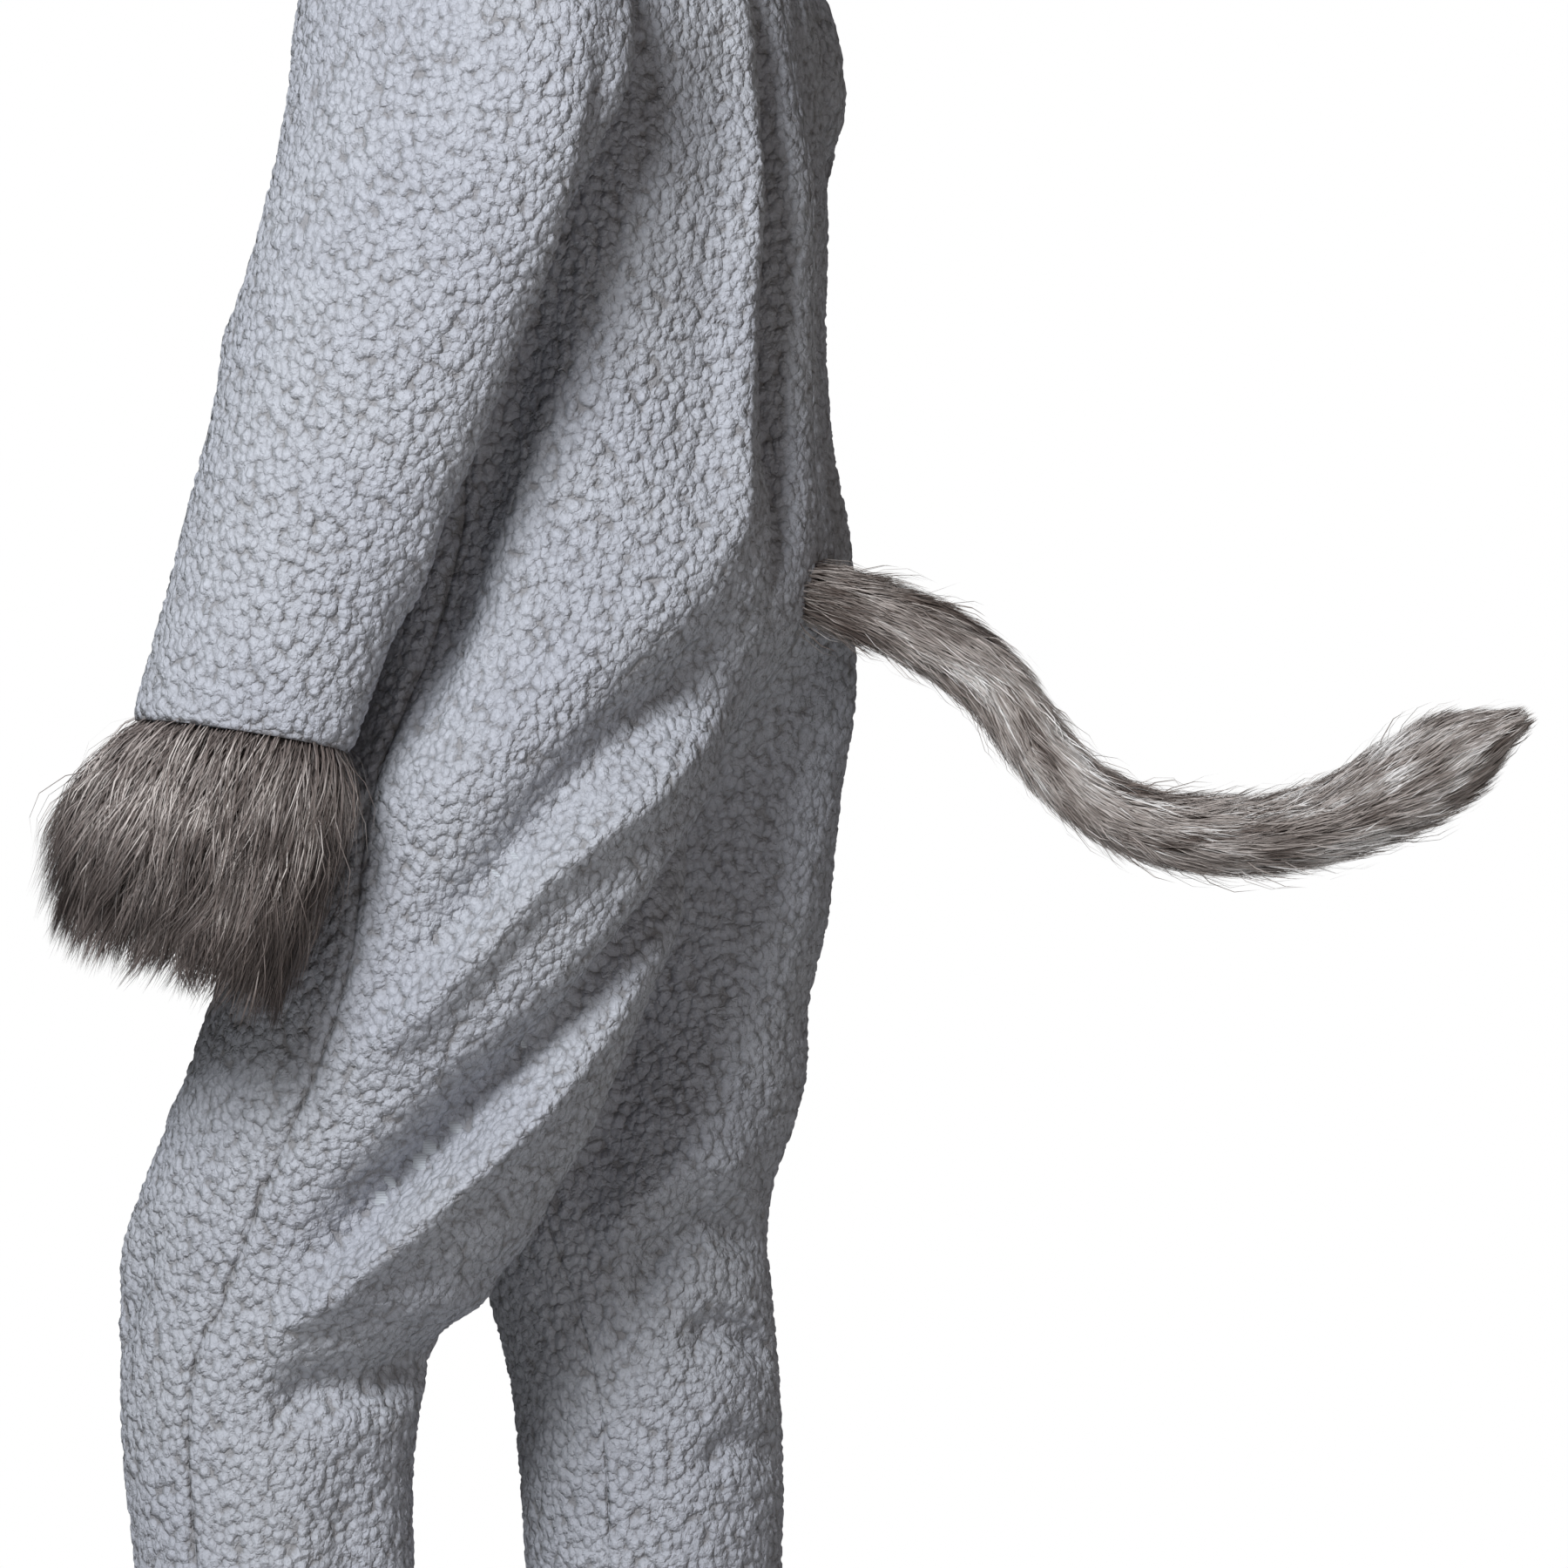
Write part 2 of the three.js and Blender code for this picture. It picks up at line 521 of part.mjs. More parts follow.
const wholeWall = () => pileDepth;
const sheets = {};
for (const side of [1, -1]) {
  const name = side > 0 ? 'left' : 'right';
  for (const half of ['front', 'back']) {
    const sheet = newSheet(side);
    const outward = half === 'front' ? side < 0 : side > 0;
    const columns = panelColumns[half];
    addGrid(sheet, skinRows.length - 1, columns, (r, c) => skinPoint(side, half, r, c), wholeWall, !outward);
    addGrid(sheet, yokeRows, yokeColumns(half), (r, c) => yokePoint(side, half, r, c), wholeWall, outward);
    sheets[`${half}_${name}`] = sheet;
  }
  const armhole = armholeLoop(side);
  const loop = armhole.points;
  const angles = armholeAngles(armhole);
  const count = loop.length;
  const sleeve = newSheet(side);
  addGrid(sleeve, sleeveRows, count, (r, k) => sleevePoint(side, loop, angles, r, k % count), wholeWall, side > 0);
  sheets[`sleeve_${name}`] = sleeve;
  const cuff = newSheet(side);
  const cuffWall = (r) => cuffSections[r].wall;
  addGrid(cuff, cuffSections.length - 1, count, (r, k) => cuffPoint(side, loop, angles, r, k % count), cuffWall,
    side > 0);
  sheets[`fur_cuff_${name}`] = cuff;
}

// Normals are shared across the seams, so that neighbouring walls meet face to face.
const normals = new Map();
for (const sheet of Object.values(sheets)) {
  for (const [i, j, k] of sheet.triangles) {
    const [a, b, c] = [sheet.points[i], sheet.points[j], sheet.points[k]];
    const face = new THREE.Vector3().crossVectors(b.clone().sub(a), c.clone().sub(a));
    for (const point of [a, b, c]) {
      const key = keyOf(point);
      if (!normals.has(key)) {
        normals.set(key, new THREE.Vector3());
      }
      normals.get(key).add(face);
    }
  }
}
for (const normal of normals.values()) {
  normal.normalize();
}

function edgesOf(triangles) {
  const once = new Map();
  for (const [i, j, k] of triangles) {
    for (const [a, b] of [[i, j], [j, k], [k, i]]) {
      const back = `${b}_${a}`;
      if (once.has(back)) {
        once.delete(back);
      } else {
        once.set(`${a}_${b}`, [a, b]);
      }
    }
  }
  return [...once.values()];
}

// The two triangles of a wall's rim between points a and b; both sides of a seam take the same diagonal.
function rimFaces(points, a, b, count) {
  if (keyOf(points[a]) < keyOf(points[b])) {
    return [[b, a, count + a], [b, count + a, count + b]];
  }
  return [[b, a, count + b], [a, count + a, count + b]];
}

// Gives a sheet its wall: outer points, inner points, and the strip round its edge set back by half the gap.
function wallOf(sheet, insetAt) {
  const { points, walls, triangles } = sheet;
  const outer = points.map((point) => point.clone());
  const inner = points.map((point, i) => point.clone().addScaledVector(normals.get(keyOf(point)), -walls[i]));
  const edges = edgesOf(triangles);
  const beside = new Map();
  for (const [a, b] of edges) {
    const normal = normals.get(keyOf(points[a])).clone().add(normals.get(keyOf(points[b]))).normalize();
    const along = points[b].clone().sub(points[a]).normalize();
    const inward = new THREE.Vector3().crossVectors(normal, along).normalize();
    for (const i of [a, b]) {
      if (!beside.has(i)) {
        beside.set(i, []);
      }
      beside.get(i).push(inward);
    }
  }
  for (const [i, [m1, m2]] of beside) {
    const shift = m1.clone().add(m2).multiplyScalar(insetAt(points[i]) / (1 + Math.max(m1.dot(m2), -0.5)));
    outer[i].add(shift);
    inner[i].add(shift);
  }
  const positions = [...outer, ...inner];
  const count = outer.length;
  const faces = [];
  for (const [i, j, k] of triangles) {
    faces.push([i, j, k], [count + i, count + k, count + j]);
  }
  for (const [a, b] of edges) {
    faces.push(...rimFaces(points, a, b, count));
  }
  return { positions, faces };
}

function toGeometry({ positions, faces }) {
  const flat = [];
  for (const face of faces) {
    for (const i of face) {
      flat.push(positions[i].x, positions[i].y, positions[i].z);
    }
  }
  const geometry = new THREE.BufferGeometry();
  geometry.setAttribute('position', new THREE.Float32BufferAttribute(flat, 3));
  geometry.computeVertexNormals();
  return geometry;
}

function toManifold({ positions, faces }) {
  const vertProperties = new Float32Array(positions.length * 3);
  positions.forEach((p, i) => vertProperties.set([p.x, p.y, p.z], i * 3));
  const triVerts = new Uint32Array(faces.flat());
  const mesh = new wasm.Mesh({ numProp: 3, vertProperties, triVerts });
  mesh.merge();
  return new wasm.Manifold(mesh);
}

function fromManifold(body) {
  const mesh = body.getMesh();
  const positions = [];
  for (let i = 0; i < mesh.vertProperties.length; i += mesh.numProp) {
    const [x, y, z] = mesh.vertProperties.slice(i, i + 3);
    positions.push(new THREE.Vector3(x, y, z));
  }
  const faces = [];
  for (let i = 0; i < mesh.triVerts.length; i += 3) {
    faces.push([...mesh.triVerts.slice(i, i + 3)]);
  }
  return { positions, faces };
}

// Four panels meet at the crotch, so their corners stand a little further apart there.
const crotchPoint = new THREE.Vector3(0, crotchY, crotchZ);
const insetAt = (point) => seamGap / 2 + crotchInset * Math.exp(-((point.distanceTo(crotchPoint) / crotchReach) ** 2));
const walls = {};
for (const [name, sheet] of Object.entries(sheets)) {
  walls[name] = wallOf(sheet, insetAt);
}

// The front edges stand back from the centre where the zip shows.
const zipLevels = [];
for (let row = yokeRows; row > 0; row -= 1) {
  zipLevels.push({ z: yokePoint(1, 'front', row, 0).z, open: zipOpening });
}
for (let row = 0; row <= zipBottomRow; row += 1) {
  zipLevels.push({ z: skinRows[row], open: row < zipBottomRow ? zipOpening : seamGap / 2 });
}
for (const name of ['left', 'right']) {
  const sheet = sheets[`front_${name}`];
  const wall = walls[`front_${name}`];
  const count = sheet.points.length;
  sheet.points.forEach((point, i) => {
    const level = zipLevels.find((entry) => Math.abs(entry.z - point.z) < 0.01);
    if (Math.abs(point.x) > 0.001 || !level || level.open < 1) {
      return;
    }
    const next = sheet.nextToCentre.get(i);
    for (const offset of [0, count]) {
      const from = offset === 0 ? sheet.points[i] : point.clone().addScaledVector(normals.get(keyOf(point)), -pileDepth);
      const to = wall.positions[offset + next];
      const share = level.open / Math.abs(to.x);
      wall.positions[offset + i].copy(from.clone().lerp(to, share));
    }
  });
}

const materials = {
  sherpa: { color: 0xaab0bb, roughness: 0.95, metalness: 0 },
  fur: { color: 0x6f6862, roughness: 0.9, metalness: 0 },
  tailFur: { color: 0x8b8780, roughness: 0.9, metalness: 0 },
  tape: { color: 0x9aa0aa, roughness: 0.85, metalness: 0 },
  metal: { color: 0xb9bcc0, roughness: 0.3, metalness: 1 },
};

const group = new THREE.Group();
group.name = 'wolf_costume';

function addPiece(name, geometry, look) {
  const mesh = new THREE.Mesh(geometry, new THREE.MeshStandardMaterial(materials[look]));
  mesh.name = name;
  group.add(mesh);
}

for (const name of Object.keys(sheets)) {
  addPiece(name, toGeometry(walls[name]), name.startsWith('fur') ? 'fur' : 'sherpa');
}

// Tail: a closed tube whose root is cut to the seat with the seam's gap.
function tailBody() {
  const positions = [];
  const faces = [];
  for (let row = 0; row <= tailRows; row += 1) {
    const q = row / tailRows;
    const s = sample(tailSections, q);
    const before = sample(tailSections, Math.max(0, q - 0.01));
    const after = sample(tailSections, Math.min(1, q + 0.01));
    const along = new THREE.Vector3(0, after.y - before.y, after.z - before.z).normalize();
    const up = new THREE.Vector3(0, -along.z, along.y);
    const sway = -tailSway * Math.sin(q * Math.PI);
    for (let k = 0; k < tailSides; k += 1) {
      const angle = k / tailSides * Math.PI * 2;
      positions.push(new THREE.Vector3(sway + s.radius * Math.cos(angle), s.y, s.z)
        .addScaledVector(up, s.radius * Math.sin(angle)));
    }
  }
  const at = (row, k) => row * tailSides + k % tailSides;
  for (let row = 0; row < tailRows; row += 1) {
    for (let k = 0; k < tailSides; k += 1) {
      faces.push([at(row, k), at(row + 1, k + 1), at(row, k + 1)], [at(row, k), at(row + 1, k), at(row + 1, k + 1)]);
    }
  }
  for (let k = 1; k < tailSides - 1; k += 1) {
    faces.push([at(0, 0), at(0, k), at(0, k + 1)], [at(tailRows, 0), at(tailRows, k + 1), at(tailRows, k)]);
  }
  return { positions, faces };
}

function grownSheet(sheet, out, inside) {
  const count = sheet.points.length;
  const positions = [];
  for (const reach of [out, -inside]) {
    for (const point of sheet.points) {
      const normal = normals.get(keyOf(point));
      const moved = point.clone().addScaledVector(normal, reach);
      if (Math.abs(point.x) < 0.001) {
        moved.x = -sheet.side * 0.5;
      }
      positions.push(moved);
    }
  }
  const faces = [];
  for (const [i, j, k] of sheet.triangles) {
    faces.push([i, j, k], [count + i, count + k, count + j]);
  }
  for (const [a, b] of edgesOf(sheet.triangles)) {
    faces.push(...rimFaces(sheet.points, a, b, count));
  }
  return { positions, faces };
}

let tail = toManifold(tailBody());
for (const name of ['back_left', 'back_right']) {
  tail = tail.subtract(toManifold(grownSheet(sheets[name], seamGap + 0.1, 45)));
}
const tailPieces = tail.decompose().sort((a, b) => b.volume() - a.volume());
addPiece('tail', toGeometry(fromManifold(tailPieces[0])), 'tailFur');

// Zip tapes: each follows the first column of the front panel's inner face, with its half of the chain.
function tapeBody(side) {
  const rows = [];
  const pairAt = (centre, next) => ({
    centre,
    next,
    centreNormal: normals.get(keyOf(centre)),
    nextNormal: normals.get(keyOf(next)),
  });
  for (let row = yokeRows; row > 0; row -= 1) {
    rows.push(pairAt(yokePoint(side, 'front', row, 0), yokePoint(side, 'front', row, 1)));
  }
  for (let row = 0; row < zipBottomRow; row += 1) {
    rows.push(pairAt(skinPoint(side, 'front', row, 0), skinPoint(side, 'front', row, 1)));
  }
  const tapeFront = pileDepth + 0.45;
  const chainFront = tapeFront - chainDepth;
  const tapeBack = tapeFront + tapeThickness;
  const profile = [[0.15, chainFront], [chainHalf, chainFront], [chainHalf, tapeFront], [0, tapeFront], [0, tapeBack],
    [0.15, tapeBack]];
  const positions = [];
  for (const { centre, next, centreNormal, nextNormal } of rows) {
    profile.forEach(([x, depth], i) => {
      const share = i === 3 || i === 4 ? 0.96 : x / Math.abs(next.x);
      const normal = centreNormal.clone().lerp(nextNormal, share);
      positions.push(centre.clone().lerp(next, share).addScaledVector(normal, -depth));
    });
  }
  const ring = profile.length;
  const faces = [];
  const add = (i, j, k) => faces.push(side > 0 ? [i, j, k] : [i, k, j]);
  for (let row = 0; row < rows.length - 1; row += 1) {
    for (let i = 0; i < ring; i += 1) {
      const j = (i + 1) % ring;
      const [a, b, c, d] = [row * ring + i, row * ring + j, (row + 1) * ring + i, (row + 1) * ring + j];
      if (row < yokeRows) {
        add(a, c, b);
        add(b, c, d);
      } else {
        add(a, c, d);
        add(a, d, b);
      }
    }
  }
  const last = (rows.length - 1) * ring;
  for (const [i, j, k] of [[0, 1, 2], [0, 2, 5], [2, 3, 4], [2, 4, 5]]) {
    add(i, j, k);
    add(last + i, last + k, last + j);
  }
  return { positions, faces };
}

// The slider's own axes: x across, y outward from the chest, z up along the chain.
const chestTop = yokePoint(1, 'front', yokeRows, 0);
const chestNext = yokePoint(1, 'front', yokeRows - 2, 0);
const chainUp = chestTop.clone().sub(chestNext).normalize();
const chainOut = new THREE.Vector3(0, -chainUp.z, chainUp.y);
const sliderPlace = chestTop.clone().addScaledVector(chainUp, -sliderDrop);
const place = new THREE.Matrix4().makeBasis(new THREE.Vector3(-1, 0, 0), chainOut, chainUp).setPosition(sliderPlace);

function boxBody(x, y, z, cx, cy, cz) {
  return wasm.Manifold.cube([x, y, z], true).translate([cx, cy, cz]);
}

const chainMiddle = -(pileDepth + 0.45 - chainDepth / 2);
const frontPlateY = chainMiddle + chainDepth / 2 + 0.35;
const backPlateY = chainMiddle - chainDepth / 2 - tapeThickness - 0.6;
const plateThickness = 1.4;
const postHeight = 2.4;
const lugThickness = 1.6;
const pinY = frontPlateY + pinHeight;

function sliderBody() {
  const reach = frontPlateY - backPlateY + plateThickness * 2;
  const middle = (frontPlateY + backPlateY) / 2;
  const topZ = sliderLength / 2;
  const front = boxBody(sliderHalf * 2, plateThickness, sliderLength, 0, frontPlateY + plateThickness / 2, 0);
  const back = boxBody(sliderHalf * 2, plateThickness, sliderLength, 0, backPlateY - plateThickness / 2, 0);
  const post = boxBody(3, reach, postHeight, 0, middle, topZ - postHeight / 2);
  const lugBar = boxBody(lugThickness, pinHeight + 1, 4.6, 0, frontPlateY + (pinHeight + 1) / 2, 0);
  const lugEnd = wasm.Manifold.cylinder(lugThickness, 2.3, 2.3, 24, true).rotate([0, 90, 0]).translate([0, pinY, 0]);
  const hole = wasm.Manifold.cylinder(lugThickness * 2, lugHole, lugHole, 24, true).rotate([0, 90, 0])
    .translate([0, pinY, 0]);
  return front.add(back).add(post).add(lugBar).add(lugEnd).subtract(hole);
}

function pullBody() {
  const bar = 1.3;
  const window = 5.4;
  const plate = boxBody(pullHalf * 2, pullThickness, pullLength, 0, pinY, bar / 2 - pullLength / 2);
  const opening = boxBody(4.2, pullThickness * 2, window, 0, pinY, -bar / 2 - window / 2);
  const grip = boxBody(2.6, pullThickness * 2, 2.6, 0, pinY, bar / 2 - pullLength + 4);
  return plate.subtract(opening).subtract(grip);
}

function placed(body) {
  return body.transform(place.elements);
}

const tapeNotch = placed(boxBody(7.4, 14, 30, 0, chainMiddle, sliderLength / 2 - postHeight - 0.5 + 15));
for (const side of [1, -1]) {
  const tape = toManifold(tapeBody(side)).subtract(tapeNotch);
  addPiece(side > 0 ? 'zip_tape_left' : 'zip_tape_right', toGeometry(fromManifold(tape)), 'tape');
}
addPiece('zip_slider', toGeometry(fromManifold(placed(sliderBody()))), 'metal');
addPiece('zip_pull', toGeometry(fromManifold(placed(pullBody()))), 'metal');

export default group;
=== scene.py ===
import math

import bpy
import numpy as np
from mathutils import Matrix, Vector, kdtree


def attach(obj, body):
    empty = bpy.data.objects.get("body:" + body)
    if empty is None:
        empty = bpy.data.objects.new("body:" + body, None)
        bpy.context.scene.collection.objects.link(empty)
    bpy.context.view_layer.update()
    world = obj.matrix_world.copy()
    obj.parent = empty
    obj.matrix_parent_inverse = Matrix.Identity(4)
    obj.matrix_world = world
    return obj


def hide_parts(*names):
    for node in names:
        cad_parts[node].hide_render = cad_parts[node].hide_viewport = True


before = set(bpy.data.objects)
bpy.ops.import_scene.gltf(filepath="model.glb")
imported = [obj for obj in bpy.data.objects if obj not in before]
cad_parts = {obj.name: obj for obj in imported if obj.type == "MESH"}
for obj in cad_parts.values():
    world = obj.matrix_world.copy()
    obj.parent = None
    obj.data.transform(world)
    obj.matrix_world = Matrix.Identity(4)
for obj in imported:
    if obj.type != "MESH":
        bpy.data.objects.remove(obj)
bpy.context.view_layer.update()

# A child's plush wolf suit in its worn pose. Sizes in the tables are millimetres, objects are metres.
# +Z is up, the wearer faces -Y, the wearer's left is +X, the origin is the middle of the neck opening.

picture = {
    "centre": (-0.0337, 0.0927, -0.4885),
    "azimuth": 110,
    "width": 0.765,
    "distance": 6.0,
    "floor": -1.169,
}

light = {
    "key": {"from": (2.58, -0.2, 1.5), "size": 1.0, "power": 92, "colour": (0.94, 0.97, 1.0)},
    "fill": {"from": (1.3, 1.5, 0.1), "size": 2.0, "power": 3.5, "colour": (1.0, 0.88, 0.79)},
    "rim": {"from": (-1.5, 0.9, 0.6), "size": 1.6, "power": 3, "colour": (1.0, 0.97, 0.94)},
    "sky": 0.05,
}


def makeCamera():
    angle = math.radians(picture["azimuth"])
    back = Vector((math.sin(angle), -math.cos(angle), 0))
    data = bpy.data.cameras.new("camera")
    data.sensor_width = 36
    data.lens = data.sensor_width * picture["distance"] / picture["width"]
    data.clip_end = 100
    camera = bpy.data.objects.new("camera", data)
    bpy.context.scene.collection.objects.link(camera)
    camera.location = Vector(picture["centre"]) + back * picture["distance"]
    camera.rotation_euler = (-back).to_track_quat("-Z", "Y").to_euler()
    bpy.context.scene.camera = camera


makeCamera()
print("camera ready")


# Shader maths: a socket that can be added, multiplied and so on as a Python value.
class Socket:
    def __init__(self, paint, socket):
        self.paint = paint
        self.socket = socket

    def calc(self, operation, *others):
        links = dict(enumerate((self, *others)))
        return self.paint.make("ShaderNodeMath", 0, {"operation": operation}, links)

    def __add__(self, other):
        return self.calc("ADD", other)

    def __sub__(self, other):
        return self.calc("SUBTRACT", other)

    def __mul__(self, other):
        return self.calc("MULTIPLY", other)

    def __rsub__(self, other):
        return self.calc("MULTIPLY", -1).calc("ADD", other)

    __radd__ = __add__
    __rmul__ = __mul__

    def between(self, low, high):
        settings = {"interpolation_type": "SMOOTHSTEP"}
        return self.paint.make("ShaderNodeMapRange", 0, settings, {0: self, 1: low, 2: high})


class Paint:
    def __init__(self, name):
        self.material = bpy.data.materials.new(name)
        self.material.use_nodes = True
        self.tree = self.material.node_tree
        self.tree.nodes.clear()

    def make(self, kind, output, settings=None, links=None):
        node = self.tree.nodes.new(kind)
        for key, value in (settings or {}).items():
            setattr(node, key, value)
        for key, value in (links or {}).items():
            if isinstance(value, Socket):
                self.tree.links.new(value.socket, node.inputs[key])
            else:
                node.inputs[key].default_value = value
        return Socket(self, node.outputs[output])

    def place(self):
        return self.make("ShaderNodeTexCoord", "Object")

    def attribute(self, name):
        return self.make("ShaderNodeAttribute", "Fac", {"attribute_name": name})

    def noise(self, place, scale, detail=2, roughness=0.5, output=0):
        links = {"Vector": place, "Scale": scale, "Detail": detail, "Roughness": roughness}
        return self.make("ShaderNodeTexNoise", output, None, links)

    def shifted(self, place, by, reach):
        centred = self.make("ShaderNodeVectorMath", 0, {"operation": "SUBTRACT"}, {0: by, 1: (0.5, 0.5, 0.5)})
        settings = {"operation": "MULTIPLY_ADD"}
        return self.make("ShaderNodeVectorMath", 0, settings, {0: centred, 1: (reach, reach, reach), 2: place})

    def mix(self, share, first, second, blend="MIX"):
        settings = {"data_type": "RGBA", "blend_type": blend}
        return self.make("ShaderNodeMix", 2, settings, {0: share, 6: first, 7: second})

    def mapped(self, place, shift=(0, 0, 0), scale=(1, 1, 1)):
        return self.make("ShaderNodeMapping", 0, None, {0: place, 1: shift, 3: scale})

    def cells(self, place, scale):
        return self.make("ShaderNodeTexVoronoi", "Distance", None, {"Vector": place, "Scale": scale})

    def bands(self, place, direction, scale, distortion):
        settings = {"wave_type": "BANDS", "bands_direction": direction}
        links = {"Vector": place, "Scale": scale, "Distortion": distortion}
        return self.make("ShaderNodeTexWave", 1, settings, links)

    def bump(self, height, strength, distance):
        links = {"Height": height, "Strength": strength, "Distance": distance}
        return self.make("ShaderNodeBump", 0, None, links)

    def finish(self, **inputs):
        links = {key.replace("_", " "): value for key, value in inputs.items()}
        surface = self.make("ShaderNodeBsdfPrincipled", 0, None, links)
        output = self.tree.nodes.new("ShaderNodeOutputMaterial")
        self.tree.links.new(surface.socket, output.inputs["Surface"])
        return self.material


def colour(red, green, blue):
    return (red, green, blue, 1)


sherpaLook = {
    # Colours of the curls' tops, sides and gaps: the lighter tops are painted light and the darker gaps painted
    # shade.
    "tip": colour(0.57, 0.585, 0.635),
    "side": colour(0.49, 0.50, 0.54),
    "creviceShade": colour(0.33, 0.322, 0.33),
    "tuftScale": 190,
    "stretch": (1.0, 1.0, 0.82),
    "secondCurls": (0.0131, 0.0173, 0.0112),
    "curlFall": 1.85,
    "secondTop": 0.86,
    "secondFall": 1.7,
    "warp": 0.0034,
    "fuzz": 0.0012,
    "bump": 0.0042,
}


def sherpaMaterial(look):
    paint = Paint("sherpa")
    place = paint.place()
    warp = paint.noise(place, 120, 1, 0.5, output=1)
    fuzz = paint.noise(place, 640, 1, 0.5, output=1)
    stretched = paint.mapped(place, scale=look["stretch"])
    bent = paint.shifted(paint.shifted(stretched, warp, look["warp"]), fuzz, look["fuzz"])
    tuft = paint.cells(bent, look["tuftScale"])
    second = paint.cells(paint.mapped(bent, look["secondCurls"]), look["tuftScale"])
    fibre = paint.noise(bent, 620, 3, 0.65)
    broad = paint.noise(place, 11, 2)
    # Curls are domes on two sets of cells, so the second set fills the gaps of the first.
    filler = look["secondTop"] - (second * second) * look["secondFall"]
    dome = (1 - (tuft * tuft) * look["curlFall"]).calc("MAXIMUM", filler).calc("MAXIMUM", 0)
    height = dome * 0.8 + (fibre - 0.5) * 0.35
    # Colour follows the curls: their tops lighter (painted light), the gaps between them and the seams darker
    # (painted shade); the fibre noise is the pile's own fine variation.
    tone = paint.attribute("pile") * 0.22 + dome * 0.78 + (fibre - 0.5) * 0.4 - paint.attribute("seam") * 0.5
    gapShade = paint.mix(tone.between(0.0, 0.5), look["creviceShade"], look["side"])
    curlShade = paint.mix(tone.between(0.4, 1.0), gapShade, look["tip"])
    worn = paint.mix(broad.between(0.35, 0.7), colour(0.93, 0.93, 0.95), colour(1, 1, 1))
    final = paint.mix(1, curlShade, worn, "MULTIPLY")
    return paint.finish(Base_Color=final, Roughness=0.92, Normal=paint.bump(height, 1.0, look["bump"]),
                        Specular_IOR_Level=0.2, Sheen_Weight=0.18, Sheen_Roughness=0.45,
                        Sheen_Tint=colour(0.9, 0.95, 1))


def backingMaterial():
    paint = Paint("knit_backing")
    place = paint.place()
    height = paint.bands(place, "Z", 260, 1.5) * 0.6 + paint.noise(place, 700, 2) * 0.4
    shade = paint.mix(height, colour(0.42, 0.44, 0.48), colour(0.60, 0.63, 0.67))
    bump = paint.bump(height, 0.5, 0.0006)
    return paint.finish(Base_Color=shade, Roughness=0.9, Normal=bump, Sheen_Weight=0.2)


def hairMaterial(name, look):
    paint = Paint(name)
    shade = paint.attribute("shade")
    along = paint.attribute("along")
    streak = paint.noise(paint.place(), look["streakScale"], 2)
    rise = (along * 2.4).calc("MINIMUM", 1) * (1 - look["rootDark"]) + look["rootDark"]
    light = (shade * 0.85 + streak * 0.9 - 0.36) * rise * (1 - along.between(0.5, 1.0) * look["tipDark"])
    body = paint.mix(light.between(0.05, 0.55), look["dark"], look["middle"])
    final = paint.mix(light.between(0.5, 0.95), body, look["light"])
    return paint.finish(Base_Color=final, Roughness=look["roughness"], Specular_IOR_Level=0.35,
                        Sheen_Weight=0.15, Sheen_Roughness=0.4)


def skinMaterial(name, look):
    paint = Paint(name)
    height = paint.noise(paint.mapped(paint.place(), scale=(1, 1, 0.18)), 620, 4, 0.6)
    shade = paint.mix(height.between(0.3, 0.8), look["dark"], look["middle"])
    bump = paint.bump(height, 0.8, 0.002)
    return paint.finish(Base_Color=shade, Roughness=0.85, Normal=bump, Sheen_Weight=0.2)


def tapeMaterial():
    paint = Paint("zip_tape")
    place = paint.place()
    height = paint.bands(place, "DIAGONAL", 420, 0.4) * 0.7 + paint.noise(place, 900, 2) * 0.3
    shade = paint.mix(height, colour(0.28, 0.31, 0.36), colour(0.45, 0.48, 0.54))
    return paint.finish(Base_Color=shade, Roughness=0.8, Normal=paint.bump(height, 0.6, 0.0003))


def teethMaterial():
    paint = Paint("zip_teeth")
    scuff = paint.noise(paint.place(), 500, 3)
    shade = paint.mix(scuff, colour(0.50, 0.52, 0.56), colour(0.66, 0.69, 0.73))
    return paint.finish(Base_Color=shade, Roughness=scuff * 0.2 + 0.3, Coat_Weight=0.2)


def metalMaterial():
    paint = Paint("nickel")
    place = paint.place()
    wear = paint.noise(place, 240, 4, 0.6)
    fine = paint.noise(place, 1800, 2)
    shade = paint.mix(wear.between(0.4, 0.75), colour(0.60, 0.59, 0.57), colour(0.46, 0.45, 0.43))
    return paint.finish(Base_Color=shade, Metallic=1.0, Roughness=wear * 0.22 + 0.2,
                        Normal=paint.bump(fine, 0.15, 0.0001))


cuffLook = {
    "dark": colour(0.034, 0.025, 0.022),
    "middle": colour(0.20, 0.163, 0.150),
    "light": colour(0.70, 0.635, 0.60),
    "streakScale": 30,
    "rootDark": 0.5,
    "tipDark": 0.45,
    "roughness": 0.5,
}
tailLook = {
    "dark": colour(0.13, 0.098, 0.084),
    "middle": colour(0.46, 0.405, 0.375),
    "light": colour(0.92, 0.90, 0.885),
    "streakScale": 40,
    "rootDark": 0.6,
    "tipDark": 0.1,
    "roughness": 0.5,
}

sherpa = sherpaMaterial(sherpaLook)
backing = backingMaterial()
cuffHair = hairMaterial("cuff_hair", cuffLook)
tailHair = hairMaterial("tail_hair", tailLook)
cuffSkin = skinMaterial("cuff_undercoat", cuffLook)
tailSkin = skinMaterial("tail_undercoat", tailLook)
tape = tapeMaterial()
teethFinish = teethMaterial()
nickel = metalMaterial()
print("materials ready")


def sideOf(side):
    return "left" if side > 0 else "right"


# Tables of named columns, read at a value of the first column with smooth slopes through the rows.
def table(names, *rows):
    return dict(zip(names.split(), np.array(rows, float).T))


